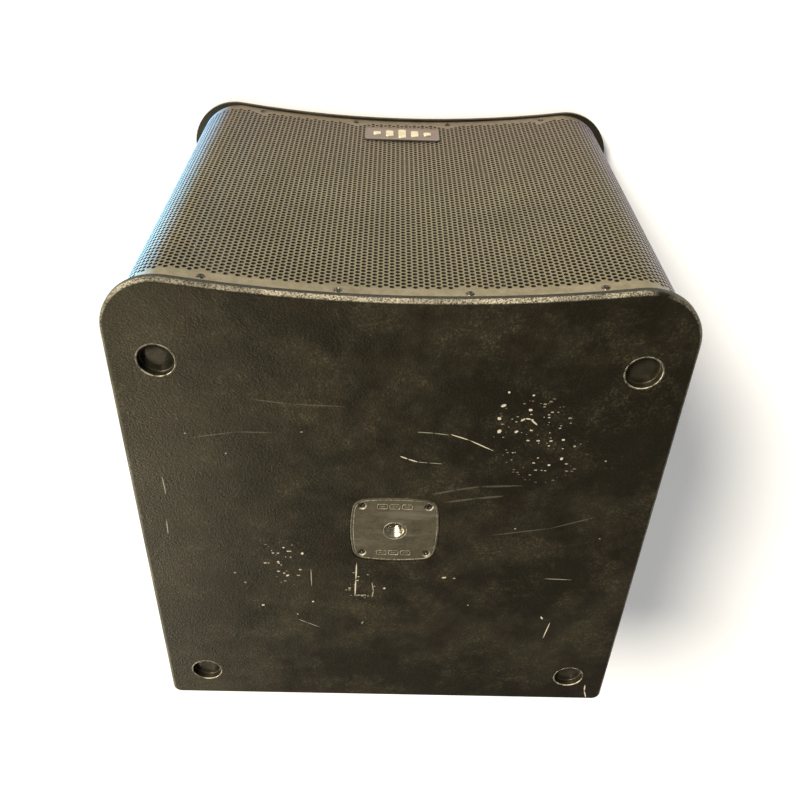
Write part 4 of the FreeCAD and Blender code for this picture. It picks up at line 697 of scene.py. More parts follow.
def make_materials():
    """Every finish by its slot's name."""
    return {
        "cabinet_paint": cabinet_paint("cabinet_paint"),
        "cabinet_paint_top": cabinet_paint("cabinet_paint_top", True),
        "inner_ply": stained_ply_and_painted_shade(),
        "grille_steel": grille_coat(),
        "grille_holes": hole_painted_shade(),
        "black_screws": screw_finish("black_screw", (0.016, 0.015, 0.012), (0.50, 0.45, 0.33), 0.4),
        "zinc_screws": screw_finish("zinc_screw", (0.42, 0.42, 0.41), (0.75, 0.74, 0.70), 0.5),
        "badge_plate": badge_finish(),
        "badge_body": moulded("badge_body", (0.008, 0.008, 0.007), 0.0006, 0.00003, 0.5, 0.1),
        "badge_metal": bare_metal("badge_metal", (0.74, 0.68, 0.46), "x", 0.3, 0.35),
        "pole_plate": plate_finish(),
        "thread": thread_steel(),
        "cup_plastic": cup_finish(),
        "foot_rubber": rubber("foot_rubber", (0.020, 0.020, 0.020)),
        "pan_plastic": moulded("pan_plastic", (0.022, 0.021, 0.020), 0.0011, 0.00009, 0.5),
        "grip_rubber": rubber("grip_rubber", (0.024, 0.024, 0.024)),
        "basket_cast": coated("basket_cast", (0.040, 0.040, 0.042), 0.45, 0.001, 0.00008),
        "cone_paper": paper(),
        "surround_cloth": cloth("surround_cloth", (0.022, 0.022, 0.022)),
        "spider_cloth": cloth("spider_cloth", (0.42, 0.26, 0.10), 0.0007),
        "former_film": film(),
        "coil_copper": copper(),
        "motor_steel": bare_metal("motor_steel", (0.32, 0.32, 0.34), "round", 0.4, 0.4),
        "ferrite": ferrite(),
        "terminal_plastic": moulded("terminal_plastic", (0.04, 0.04, 0.04), 0.0008, 0.00004, 0.45),
        "panel_sheet": amp_coat(),
        "chassis_steel": bare_metal("chassis_zinc", (0.58, 0.59, 0.60), "z", 0.38, 0.35),
        "sink_aluminium": coated(
            "heat_sink_anodised", (0.030, 0.030, 0.033), 0.35, 0.0007, 0.00003, 0.3, 0.6
        ),
        "board_laminate": circuit(),
        "capacitor_sleeve": sleeve(),
        "transformer_wrap": taped_coil(),
        "socket_plastic": moulded("socket_plastic", (0.026, 0.026, 0.028), 0.0007, 0.00003, 0.38),
        "latch_metal": bare_metal("latch_metal", (0.70, 0.70, 0.71), "x", 0.25, 0.15),
        "rocker_plastic": moulded("rocker_plastic", (0.022, 0.022, 0.022), 0.002, 0.00002, 0.22, 0.12),
        "knob_plastic": moulded("knob_plastic", (0.024, 0.024, 0.025), 0.0006, 0.00004, 0.5),
        "light_lens": lens(),
        "fan_plastic": moulded("fan_plastic", (0.026, 0.026, 0.027), 0.0009, 0.00005, 0.42),
        "guard_wire": bare_metal("guard_wire", (0.72, 0.73, 0.75), "round", 0.2, 0.2),
        "dial_mark": moulded("dial_mark_plastic", (0.62, 0.62, 0.60), 0.0006, 0.00002, 0.4, 0.3),
    }


# ---------------------------------------------------------------- mesh helpers
class Shape:
    """Vertices and faces of one piece, gathered from several closed forms."""

    def __init__(self):
        self.points = []
        self.faces = []
        self.tints = []

    def add(self, points, faces, matrix=None, tint=0):
        start = len(self.points)
        for point in points:
            place = Vector(point)
            self.points.append(matrix @ place if matrix else place)
        self.faces += [[start + index for index in face] for face in faces]
        self.tints += [tint] * len(faces)

    def loft(self, rings, joined=False, matrix=None, tint=0):
        """Skin a row of rings with equal counts. It is closed by end faces, or joined end to start."""
        count = len(rings[0])
        points = [point for ring in rings for point in ring]
        faces = []
        spans = len(rings) if joined else len(rings) - 1
        for ring in range(spans):
            here = ring * count
            there = (ring + 1) % len(rings) * count
            for index in range(count):
                after = (index + 1) % count
                faces.append([here + index, here + after, there + after, there + index])
        if not joined:
            faces.append(list(range(count))[::-1])
            faces.append([(len(rings) - 1) * count + index for index in range(count)])
        self.add(points, faces, matrix, tint)


def clean_mesh(name, shape, dissolve=True):
    """A mesh of the gathered faces, with shared points joined and every face turned outwards."""
    mesh = bpy.data.meshes.new(name)
    mesh.from_pydata([tuple(p) for p in shape.points], [], shape.faces)
    mesh.polygons.foreach_set("material_index", shape.tints)
    work = bmesh.new()
    work.from_mesh(mesh)
    bmesh.ops.remove_doubles(work, verts=work.verts, dist=1e-7)
    if dissolve:
        bmesh.ops.dissolve_degenerate(work, edges=work.edges, dist=1e-8)
    bmesh.ops.recalc_face_normals(work, faces=work.faces)
    work.to_mesh(mesh)
    work.free()
    return mesh


def finish_mesh(name, shape, materials, body, replaced, angle):
    """Turn gathered faces into a smooth-shaded piece that rides on a body."""
    mesh = clean_mesh(name, shape)
    for material in materials:
        mesh.materials.append(material)
    place_piece(name, mesh, body, replaced, angle)


def place_piece(name, mesh, body, replaced, angle):
    """Link a mesh as a piece; edges sharper than `angle` degrees stay sharp."""
    mesh.polygons.foreach_set("use_smooth", [True] * len(mesh.polygons))
    mesh.set_sharp_from_angle(angle=math.radians(angle))
    piece = bpy.data.objects.new(name, mesh)
    bpy.context.scene.collection.objects.link(piece)
    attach(piece, body)
    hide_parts(*replaced)


def cut_away(shape, cutters):
    """The shape with other closed shapes cut out of it."""
    objects = []
    for part in (shape, cutters):
        item = bpy.data.objects.new("work", clean_mesh("work", part, dissolve=False))
        bpy.context.scene.collection.objects.link(item)
        objects.append(item)
    whole, tool = objects
    modifier = whole.modifiers.new("cut", "BOOLEAN")
    modifier.operation = "DIFFERENCE"
    modifier.solver = "EXACT"
    modifier.object = tool
    graph = bpy.context.evaluated_depsgraph_get()
    result = bpy.data.meshes.new_from_object(whole.evaluated_get(graph))
    made = Shape()
    made.add([v.co.copy() for v in result.vertices], [list(p.vertices) for p in result.polygons])
    for item in objects:
        bpy.data.objects.remove(item)
    return made


def ring(radius, height, count=48, start=0.0):
    """Points of a level circle."""
    turn = math.tau / count
    return [
        (radius * math.cos(start + turn * k), radius * math.sin(start + turn * k), height)
        for k in range(count)
    ]


def turned(shape, profile, count=48, matrix=None, joined=False):
    """A form turned about Z from (radius, height) points."""
    rings = [ring(radius, height, count) for radius, height in profile]
    shape.loft(rings, joined, matrix)


def arc(centre_r, centre_h, radius, start, end, steps=4):
    """Points of a rounded edge in a profile, by angle in degrees."""
    found = []
    for k in range(steps + 1):
        angle = math.radians(start + (end - start) * k / steps)
        found.append((centre_r + radius * math.cos(angle), centre_h + radius * math.sin(angle)))
    return found


def rounded_rectangle(half_x, half_y, radius, steps=6):
    """Outline points of a rectangle with round corners, anticlockwise."""
    points = []
    for quarter in range(4):
        cx = (half_x - radius) * (1 if quarter in (0, 3) else -1)
        cy = (half_y - radius) * (1 if quarter in (0, 1) else -1)
        for k in range(steps + 1):
            angle = math.pi / 2 * (quarter + k / steps)
            points.append((cx + radius * math.cos(angle), cy + radius * math.sin(angle)))
    return points


def axis_frame(x, y, z, direction):
    """A matrix whose local +Z points along a direction."""
    turn = Vector(direction).to_track_quat("Z", "Y").to_matrix().to_4x4()
    return Matrix.Translation((x, y, z)) @ turn


def front_curve(distance, inset):
    """Plan points on the front, by distance along the grille's outer face and depth behind the outline."""
    s = np.abs(distance)
    flat = (FRONT_ARC + SHEET_INSET) * LEAN
    small = CORNER_RADIUS - SHEET_INSET
    bend = small * (math.pi / 2 + LEAN)
    angle = s / (FRONT_ARC + SHEET_INSET)
    x = (FRONT_ARC + inset) * np.sin(angle)
    y = ARC_CENTRE_Y + (FRONT_ARC + inset) * np.cos(angle)
    turn = -math.pi / 2 - LEAN + (s - flat) / small
    on_corner = s > flat
    x = np.where(on_corner, CORNER_X + (CORNER_RADIUS - inset) * np.cos(turn), x)
    y = np.where(on_corner, CORNER_Y + (CORNER_RADIUS - inset) * np.sin(turn), y)
    on_side = s > flat + bend
    x = np.where(on_side, HALF_WIDTH - GRILLE_SIDE - inset, x)
    y = np.where(on_side, CORNER_Y + (s - flat - bend), y)
    return np.where(distance < 0, -x, x), y


def front_place(x, inset):
    """A point and an outward direction on the concave front at a distance from the middle."""
    y = ARC_CENTRE_Y + math.sqrt((FRONT_ARC + inset) ** 2 - x**2)
    return y, Vector((-x, ARC_CENTRE_Y - y, 0)).normalized()


# ---------------------------------------------------------------- grille
# Half the sheet's width along its face: the large arc, one bent corner and the straight end.
SHEET_HALF = (FRONT_ARC + SHEET_INSET) * LEAN
SHEET_HALF += (CORNER_RADIUS - SHEET_INSET) * (math.pi / 2 + LEAN)
SHEET_HALF += WRAP_Y - CORNER_Y


def grille_cells():
    """Hexagonal cells of the sheet: middle (along, up) and whether the cell is punched."""
    step = PITCH * math.sqrt(3) / 2
    reach = int(SHEET_HALF / step) + 2
    screws = [(round_distance(x), z) for x, z in GRILLE_SCREWS]
    cells = []
    for column in range(-reach, reach + 1):
        along = column * step
        offset = PITCH / 2 if column % 2 else 0.0
        level = SHEET_LOW - PITCH + offset
        while level < SHEET_HIGH + PITCH:
            inside = abs(along) < FIELD_HALF
            inside = inside and SHEET_LOW + MARGIN_LOW < level - HOLE_RADIUS
            inside = inside and level + HOLE_RADIUS < SHEET_HIGH - MARGIN_HIGH
            away = (math.hypot(along - x, level - z) for x, z in screws)
            clear = all(distance > GRILLE_SCREW_CLEAR for distance in away)
            cells.append((along, level, inside and clear))
            level += PITCH
    return cells


def round_distance(x):
    """Distance along the grille's face to the point that lies x from the middle."""
    face_radius = FRONT_ARC + SHEET_INSET
    return face_radius * math.asin(x / face_radius)


def perforated_strip(name, cells, materials):
    """One closed strip of perforated sheet, whose holes open slightly towards its face."""
    lip, lip_depth = HOLE_RADIUS + 0.00017, 0.00025
    hexagon = [point[:2] for point in ring(PITCH / math.sqrt(3), 0.0, 6)]
    circle = [point[:2] for point in ring(1.0, 0.0, 12)]
    flat, back, triangles = [], [], []
    for along, level, punched in cells:
        start = len(flat)
        rim = []
        for dx, dz in hexagon:
            rim.append((
                min(max(along + dx, -SHEET_HALF), SHEET_HALF),
                min(max(level + dz, SHEET_LOW), SHEET_HIGH),
            ))
        flat += rim
        back += rim
        if punched:
            flat += [(along + lip * c, level + lip * t) for c, t in circle]
            back += [(along + HOLE_RADIUS * c, level + HOLE_RADIUS * t) for c, t in circle]
            for k in range(6):
                near, far = start + k, start + (k + 1) % 6
                first, second, third = (start + 6 + (2 * k + j) % 12 for j in range(3))
                triangles += [(near, second, first), (near, far, second), (far, third, second)]
        else:
            middle = (sum(p[0] for p in rim) / 6, sum(p[1] for p in rim) / 6)
            flat.append(middle)
            back.append(middle)
            triangles += [(start + 6, start + k, start + (k + 1) % 6) for k in range(6)]
    flat, back, triangles = np.array(flat), np.array(back), np.array(triangles)
    # Neighbouring cells share their corners.
    keys = np.round(flat * 1e7).astype(np.int64)
    _, first, inverse = np.unique(keys, axis=0, return_index=True, return_inverse=True)
    flat, back = flat[first], back[first]
    triangles = inverse.reshape(-1)[triangles]
    a, b, c = (flat[triangles[:, k]] for k in range(3))
    area = (b[:, 0] - a[:, 0]) * (c[:, 1] - a[:, 1]) - (b[:, 1] - a[:, 1]) * (c[:, 0] - a[:, 0])
    triangles = triangles[area > 1e-12]
    count = len(flat)
    edges = np.concatenate([triangles[:, [0, 1]], triangles[:, [1, 2]], triangles[:, [2, 0]]])
    codes = edges[:, 0] * count + edges[:, 1]
    border = edges[~np.isin(codes, edges[:, 1] * count + edges[:, 0])]
    layers = []
    for places, depth in ((flat, 0.0), (back, lip_depth), (back, SHEET_THICK)):
        x, y = front_curve(places[:, 0], SHEET_INSET + depth)
        layers.append(np.stack([x, y, places[:, 1]], axis=1))
    points = np.concatenate(layers)
    near, far = border[:, 0], border[:, 1]
    walls = []
    for low in (0, count):
        walls.append(np.stack([far + low, near + low, near + low + count], axis=1))
        walls.append(np.stack([far + low, near + low + count, far + low + count], axis=1))
    faces = np.concatenate([triangles, triangles[:, ::-1] + 2 * count, *walls])
    # Hole walls and the sheet's back take the second material, which is painted shade.
    tints = np.ones(len(faces), np.int32)
    tints[: len(triangles)] = 0
    used = np.unique(faces)
    renumber = np.zeros(len(points), np.int64)
    renumber[used] = np.arange(len(used))
    points, faces = points[used], renumber[faces]
    mesh = bpy.data.meshes.new(name)
    mesh.vertices.add(len(points))
    mesh.vertices.foreach_set("co", points.astype(np.float32).ravel())
    mesh.loops.add(len(faces) * 3)
    mesh.loops.foreach_set("vertex_index", faces.astype(np.int32).ravel())
    mesh.polygons.add(len(faces))
    mesh.polygons.foreach_set("loop_start", np.arange(0, len(faces) * 3, 3, dtype=np.int32))
    mesh.polygons.foreach_set("material_index", tints)
    mesh.update(calc_edges=True)
    for material in materials:
        mesh.materials.append(material)
    place_piece(name, mesh, "cabinet", ["grille"], 40)


def build_grille(looks):
    """The sheet in four strips, split at the middle and at the quarters."""
    cells = grille_cells()
    bounds = (-math.inf, -0.175, 0.0, 0.175, math.inf)
    materials = [looks["grille_steel"], looks["grille_holes"]]
    for index, (low, high) in enumerate(zip(bounds, bounds[1:])):
        strip = [cell for cell in cells if low <= cell[0] < high]
        perforated_strip(f"grille_sheet_{index + 1}", strip, materials)


# ---------------------------------------------------------------- fasteners
def cross_recess(radius, depth, top):
    """Cutter for a cross drive: a plus whose arms grow shorter towards the bottom."""
    half_wide = radius * 0.2
    rings = []
    for share, height in ((0.35, top - depth), (1.0, top + PROUD)):
        arm = [(radius * share, -half_wide), (radius * share, half_wide), (half_wide, half_wide)]
        points = []
        for _ in range(4):
            points += [(x, y, height) for x, y in arm]
            arm = [(-y, x) for x, y in arm]
        rings.append(points)
    cutter = Shape()
    cutter.loft(rings)
    return cutter


def hex_recess(radius, depth, top):
    """Cutter for a hexagon drive."""
    cutter = Shape()
    cutter.loft([ring(radius, top - depth, 6), ring(radius, top + PROUD, 6)])
    return cutter


def screw(head, height, shank, length, drive, domed=True):
    """A screw from its head's radius and height and its shank's radius and length.

    The head stands on z = 0, or sinks below it if it isn't domed; the shank runs towards -Z.
    """
    whole = Shape()
    if domed:
        sphere = (head**2 + height**2) / (2 * height)
        radii = [head * share for share in (0.97, 0.9, 0.78, 0.6, 0.4, 0.2)]
        cap = [(radius, height - sphere + math.sqrt(sphere**2 - radius**2)) for radius in radii]
        profile = [(shank, 0), (head, 0), *cap, (NIL, height)]
        top = height
    else:
        profile = [(shank, -height), (head - 0.0002, -0.0003), (head - 0.0004, 0.0), (NIL, 0.0)]
        top = 0.0
    profile = [(NIL, -length), (shank, -length), *profile]
    turned(whole, profile, 32)
    if drive == "cross":
        cutter = cross_recess(head * 0.55, head * 0.36, top)
    else:
        cutter = hex_recess(head * 0.42, head * 0.45, top)
    return cut_away(whole, cutter)


def place_screws(name, pattern, places, material, replaced):
    """Copies of one screw, each turned by its own random angle, as one piece."""
    shape = Shape()
    for x, y, z, direction in places:
        spin = Matrix.Rotation(random.uniform(0, math.tau), 4, "Z")
        shape.add(pattern.points, pattern.faces, axis_frame(x, y, z, direction) @ spin)
    finish_mesh(name, shape, [material], "cabinet", replaced, 28)


def build_screws(looks):
    black = looks["black_screws"]
    places = []
    for x, z in GRILLE_SCREWS:
        y, outward = front_place(x, SHEET_INSET)
        places.append((x, y, z, outward))
    pattern = screw(0.0048, 0.0022, 0.002, 0.016, "cross")
    place_screws("grille_screw_set", pattern, places, black, ["grille_screws"])

    spread = (-SCREW_SPREAD, SCREW_SPREAD)
    places = [(x, y, PLATE_SCREW_LEVEL, (0, 0, 1)) for x in spread for y in spread]
    pattern = screw(0.0046, 0.0018, 0.0025, 0.0145, "cross", False)
    place_screws("pole_plate_screw_set", pattern, places, black, ["pole_mount_screws"])

    places = []
    for x, z, _ in ring(DRIVER_SCREW_RING, 0.0, 8, math.radians(22.5)):
        places.append((DRIVER_X + x, DRIVER_FACE, DRIVER_Z + z, (0, -1, 0)))
    pattern = screw(0.0045, 0.003, 0.0024, 0.024, "hex")
    place_screws("driver_screw_set", pattern, places, black, ["driver_screws"])

    spots = [(a, b) for a in (-1, 1) for b in (-1, 0, 1)]
    spots += [(0, -1), (0, 1)]
    places = [(a * AMP_SCREW_X, AMP_RIM, AMP_MIDDLE + b * AMP_SCREW_Z, (0, 1, 0)) for a, b in spots]
    pattern = screw(0.004, 0.0021, 0.0018, 0.0165, "cross", False)
    place_screws("amplifier_screw_set", pattern, places, black, ["amp_screws"])


# ---------------------------------------------------------------- top hardware
def squircle_points(inset, count=96):
    """Outline of the pole plate, moved inwards by an inset: bulging sides and round corners."""
    points = []
    end = PLATE_HALF - PLATE_CORNER
    flat = PLATE_HALF - PLATE_BULGE
    radius = (end**2 + PLATE_BULGE**2) / (2 * PLATE_BULGE)
    centre = (flat + end) / 2 - math.sqrt(PLATE_CORNER**2 - (flat - end) ** 2 / 2) / math.sqrt(2)
    for k in range(count):
        angle = math.tau * (k + 0.5) / count
        direction = Vector((math.cos(angle), math.sin(angle)))
        # Halve the range that holds the edge until it is found.
        low, high = 0.0, 0.1
        for _ in range(40):
            reach = (low + high) / 2
            p = direction * reach
            a, b = max(abs(p.x), abs(p.y)), min(abs(p.x), abs(p.y))
            if b <= end:
                outside = a > PLATE_HALF - radius + math.sqrt(radius**2 - b**2)
            else:
                outside = math.hypot(a - centre, b - centre) > PLATE_CORNER
            low, high = (low, reach) if outside else (reach, high)
        points.append(direction * (low - inset))
    return points


def build_pole_plate(looks):
    """The plate with its rounded rim, collar, chamfered mouth and real thread."""
    count = 96
    shift = math.pi / count
    boss = ((0.0205, BOSS_LOW), (0.0209, BOSS_LOW + 0.0005), (0.0209, PLATE_UNDERSIDE))
    rings = [ring(radius, height, count, shift) for radius, height in boss]
    # The rim: distance in from the plate's edge, and height.
    rim = [(0.0008, PLATE_UNDERSIDE), (0.0006, PLATE_UNDERSIDE + 0.0004)]
    for inset, drop in (
        (0.0006, 0.0010), (0.0009, 0.0003), (0.0016, 0.0), (0.0030, 0.0),
        (0.0033, 0.0004), (0.0043, 0.0004), (0.0048, 0.0001),
    ):
        rim.append((inset, PLATE_FACE - drop))
    for inset, height in rim:
        rings.append([(p.x, p.y, height) for p in squircle_points(inset, count)])
    # The collar and chamfered mouth: radius, and height above the face.
    for radius, height in (
        (0.0275, 0.0), (0.0225, 0.0003), (0.0165, 0.0005), (0.0150, 0.0005), (0.0145, 0.0001),
        (0.0138, 0.0001), (0.0133, 0.0005), (0.0116, 0.0005), (0.0112, 0.0003), (0.0098, -0.0018),
    ):
        rings.append(ring(radius, PLATE_FACE + height, count, shift))
    # The thread winds down in fine levels.
    levels = 84
    top, low = PLATE_FACE - 0.0024, BOSS_LOW + 0.0004
    for level in range(levels + 1):
        height = top + (low - top) * level / levels
        points = []
        for k in range(count):
            angle = math.tau * (k + 0.5) / count
            phase = (height / THREAD_LEAD - angle / math.tau) % 1.0
            radius = THREAD_ROOT + THREAD_DEPTH * abs(phase - 0.5) * 2
            points.append((radius * math.cos(angle), radius * math.sin(angle), height))
        rings.append(points)
    rings.append(ring(0.0105, BOSS_LOW, count, shift))
    shape = Shape()
    shape.loft(rings, joined=True)
    cutter = Shape()
    sink = [(NIL, -0.007), (0.0026, -0.007), (0.0026, -0.0032)]
    sink += [(0.0059, 0.0), (0.0066, 0.0008), (NIL, 0.0008)]
    for x in (-SCREW_SPREAD, SCREW_SPREAD):
        for y in (-SCREW_SPREAD, SCREW_SPREAD):
            turned(cutter, sink, 40, Matrix.Translation((x, y, PLATE_FACE)))
    shape = cut_away(shape, cutter)
    # Raised generic mark in two rows: three rounded frames, each round a bar.
    for row in (-1, 1):
        for column in (-1, 0, 1):
            centre = Matrix.Translation((column * 0.0150, row * 0.0395, PLATE_FACE - 0.0002))
            emboss_frame(shape, centre)
    # The thread and its chamfer are rubbed bright.
    bright_radius = 0.0114
    for index, face in enumerate(shape.faces):
        middle = sum((Vector(shape.points[i]) for i in face), Vector()) / len(face)
        shape.tints[index] = int(math.hypot(middle.x, middle.y) < bright_radius)
    materials = [looks["pole_plate"], looks["thread"]]
    replaced = ["pole_mount_plate"]
    finish_mesh("pole_plate_casting", shape, materials, "cabinet", replaced, 30)


def emboss_frame(shape, matrix):
    """A low rounded frame with a short bar inside it."""
    # Each step: half width, half depth, corner radius, height.
    frame_steps = (
        (0.0068, 0.0044, 0.0022, 0.0), (0.0068, 0.0044, 0.0022, 0.0004), (0.0064, 0.0040, 0.0020, 0.0007),
        (0.0057, 0.0033, 0.0015, 0.0007), (0.0053, 0.0029, 0.0012, 0.0003), (0.0053, 0.0029, 0.0012, 0.0),
    )
    bar_steps = (
        (0.0030, 0.0007, 0.0005, 0.0), (0.0030, 0.0007, 0.0005, 0.0004), (0.0027, 0.0004, 0.0003, 0.0006),
    )
    for steps, joined in ((frame_steps, True), (bar_steps, False)):
        rings = [[(x, y, z) for x, y in rounded_rectangle(hx, hy, r, 4)] for hx, hy, r, z in steps]
        shape.loft(rings, joined, matrix)


def build_cups(looks):
    """Stacking cups with a rounded rim, a filleted floor and a low raised disc."""
    shape = Shape()
    profile = [(NIL, -0.011), (0.0212, -0.011), (0.0214, -0.0108), (0.0214, -0.0006)]
    profile += arc(0.0209, -0.0005, 0.0005, 0, 90)
    profile += arc(0.0203, -0.0005, 0.0005, 90, 180)
    profile += [(0.01975, -0.0015), (0.0196, -0.0078)]
    profile += arc(0.0184, -0.0078, 0.0012, 0, -90)
    profile += [(0.0160, -0.0090), (0.0156, -0.0087), (0.0090, -0.0086), (NIL, -0.0086)]
    for x, y in CUP_PLACES:
        turned(shape, profile, 64, Matrix.Translation((x, y, TOP_Z)))
    cup = [looks["cup_plastic"]]
    finish_mesh("stacking_cup_set", shape, cup, "cabinet", ["stacking_cups"], 40)


def build_feet(looks):
    """Rubber feet with a rounded tread, two grooves and a countersunk well, and their screws."""
    shape = Shape()
    profile = [(0.0024, 0.012), (0.0188, 0.012), (0.0190, 0.0116), (0.0186, 0.0086)]
    profile += [(0.0181, 0.0080), (0.0184, 0.0074), (0.0178, 0.0016)]
    profile += arc(0.0163, 0.0015, 0.0015, 0, -90)
    profile += [(0.0148, 0.0), (0.0146, 0.0007), (0.0140, 0.0007), (0.0138, 0.0)]
    profile += [(0.0118, 0.0), (0.0116, 0.0007), (0.0110, 0.0007), (0.0108, 0.0)]
    profile += [(0.0084, 0.0), (0.0080, 0.0005), (0.0080, 0.0050), (0.0024, 0.0050)]
    for x, y in CUP_PLACES:
        turned(shape, profile, 64, Matrix.Translation((x, y, 0)), joined=True)
    tread = [looks["foot_rubber"]]
    finish_mesh("rubber_foot_set", shape, tread, "cabinet", ["rubber_feet"], 40)
    pattern = screw(0.0055, 0.0026, 0.0022, 0.021, "cross")
    places = [(x, y, FOOT_SCREW_LEVEL, (0, 0, -1)) for x, y in CUP_PLACES]
    place_screws("foot_screw_set", pattern, places, looks["zinc_screws"], ["foot_screws"])


# ---------------------------------------------------------------- badge
def curved_relief(shape, outlines):
    """A closed form from outlines (points, depth behind the box outline) bent to the concave front."""
    rings = []
    for points, inset in outlines:
        x = np.array([p[0] for p in points])
        z = np.array([p[1] for p in points]) + BADGE_MIDDLE
        bent_x, bent_y = front_curve(x, inset)
        rings.append(list(zip(bent_x, bent_y, z)))
    shape.loft(rings)


def build_badge(looks):
    """Curved badge plate with a rolled border, and its mark of five rounded bars."""
    plate = Shape()
    half_x, half_z = 0.0534, 0.0245
    # Each step: distance in from the plate's edge, height above the grille's face.
    steps = (
        (0.0, 0.0), (0.0, 0.0019), (0.0003, 0.0023), (0.0009, 0.0024),
        (0.0017, 0.0024), (0.0022, 0.0019), (0.0030, 0.0018), (0.0120, 0.0021),
    )
    outlines = []
    for inset, height in steps:
        corner = max(0.005 - inset, 0.0012)
        points = rounded_rectangle(half_x - inset, half_z - inset, corner, 8)
        outlines.append((points, SHEET_INSET - height))
    curved_relief(plate, outlines)
    # The metal face starts on top of the rolled border; the wall below it is black.
    wall = 2 * len(outlines[0][0])
    plate.tints = [1 if index < wall else 0 for index in range(len(plate.faces))]
    materials = [looks["badge_plate"], looks["badge_body"]]
    finish_mesh("badge_plate_curved", plate, materials, "cabinet", ["badge"], 50)
    mark = Shape()
    bar_half, bar_pitch = 0.0055, 0.018
    steps = ((0.0, 0.0019), (0.0, 0.0027), (0.0003, 0.0031), (0.0009, 0.0033), (0.0018, 0.0034))
    for index, height in enumerate((0.012, 0.022, 0.032, 0.022, 0.012)):
        x = (index - 2) * bar_pitch
        outlines = []
        for inset, rise in steps:
            corner = max(0.0030 - inset, 0.0009)
            points = rounded_rectangle(bar_half - inset, height / 2 - inset, corner, 6)
            outlines.append(([(x + px, pz) for px, pz in points], SHEET_INSET - rise))
        curved_relief(mark, outlines)
    finish_mesh("badge_bars", mark, [looks["badge_metal"]], "cabinet", ["badge_mark"], 50)


# ---------------------------------------------------------------- handles and dials
def grip_profile():
    """Half outline of a sleeve from end to end: two plain collars and 25 rounded ribs between them."""
    valley, crest = 0.0101, 0.0108
    collar = [(NIL, 0.0872), (0.0100, 0.0872), (crest, 0.0862), (crest, 0.0790), (valley, 0.0782)]
    rib_shape = ((valley, -0.0022), (crest, -0.0014), (0.0109, 0.0), (crest, 0.0014), (valley, 0.0022))
    profile = [(radius, -height) for radius, height in collar]
    for rib in range(-12, 13):
        profile += [(radius, rib * 0.0060 + height) for radius, height in rib_shape]
    return profile + collar[::-1]


def build_grips(looks):
    """Ribbed rubber sleeves on both carrying bars, and the screws of their pans."""
    for side, name in ((-1, "left"), (1, "right")):
        shape = Shape()
        turned(shape, grip_profile(), 40, axis_frame(side * GRIP_X, HANDLE_Y, GRIP_Z, (0, 1, 0)))
        sleeve_look, node = [looks["grip_rubber"]], f"handle_grip_{name}"
        finish_mesh(f"ribbed_grip_{name}", shape, sleeve_look, "cabinet", [node], 40)
    places = []
    pattern = screw(0.0033, 0.0012, 0.0016, 0.0160, "cross")
    for side in (-1, 1):
        for y in (HANDLE_Y - PAN_SCREW_Y, HANDLE_Y + PAN_SCREW_Y):
            for z in (PAN_MIDDLE_Z - PAN_SCREW_Z, PAN_MIDDLE_Z + PAN_SCREW_Z):
                places.append((side * PAN_FACE, y, z, (side, 0, 0)))
    black = looks["black_screws"]
    place_screws("handle_screw_set", pattern, places, black, ["handle_screws"])


def build_dials(looks):
    """Fluted knobs on their shafts, each with a raised pale pointer."""
    count, flutes = 96, 18
    # The shaft and the skirt, then the fluted cap: radius, height and depth of the flutes.
    skirt = (
        (0.003, -0.0095), (0.003, 0.0012), (0.0086, 0.0012),
        (0.0090, 0.0015), (0.0090, 0.0036), (0.0086, 0.0042),
    )
    cap = (
        (0.0079, 0.0046, 0.0), (0.0079, 0.0056, 0.0005), (0.0073, 0.0112, 0.0005), (0.0071, 0.0124, 0.0002),
        (0.0064, 0.0131, 0.0), (0.0050, 0.0132, 0.0), (0.0044, 0.0128, 0.0), (0.0001, 0.0128, 0.0),
    )
    # The pointer: half width, its two ends from the middle, and height.
    pointer = (
        (0.0007, 0.0004, 0.0066, 0.0126),
        (0.0007, 0.0004, 0.0066, 0.0135),
        (0.0004, 0.0007, 0.0062, 0.0138),
    )
    for name, x in DIALS:
        shape = Shape()
        rings = [ring(radius, height, count) for radius, height in skirt]
        for radius, height, flute in cap:
            points = []
            for k in range(count):
                angle = math.tau * k / count
                reach = radius - flute * (0.5 + 0.5 * math.cos(angle * flutes)) ** 2
                points.append((reach * math.cos(angle), reach * math.sin(angle), height))
            rings.append(points)
        shape.loft(rings, matrix=axis_frame(x, AMP_FLOOR, DIAL_LEVEL, (0, 1, 0)))
        # The pointer lies on the crown and runs out to its edge, towards +Z at rest.
        bar = []
        for half_x, low, high, height in pointer:
            outline = rounded_rectangle(half_x, (high - low) / 2, 0.0003, 3)
            level = DIAL_LEVEL + (low + high) / 2
            bar.append([(x + px, AMP_FLOOR + height, level + pz) for px, pz in outline])
        shape.loft(bar, tint=1)
        materials = [looks["knob_plastic"], looks["dial_mark"]]
        finish_mesh(f"fluted_{name}", shape, materials, name, [name], 30)


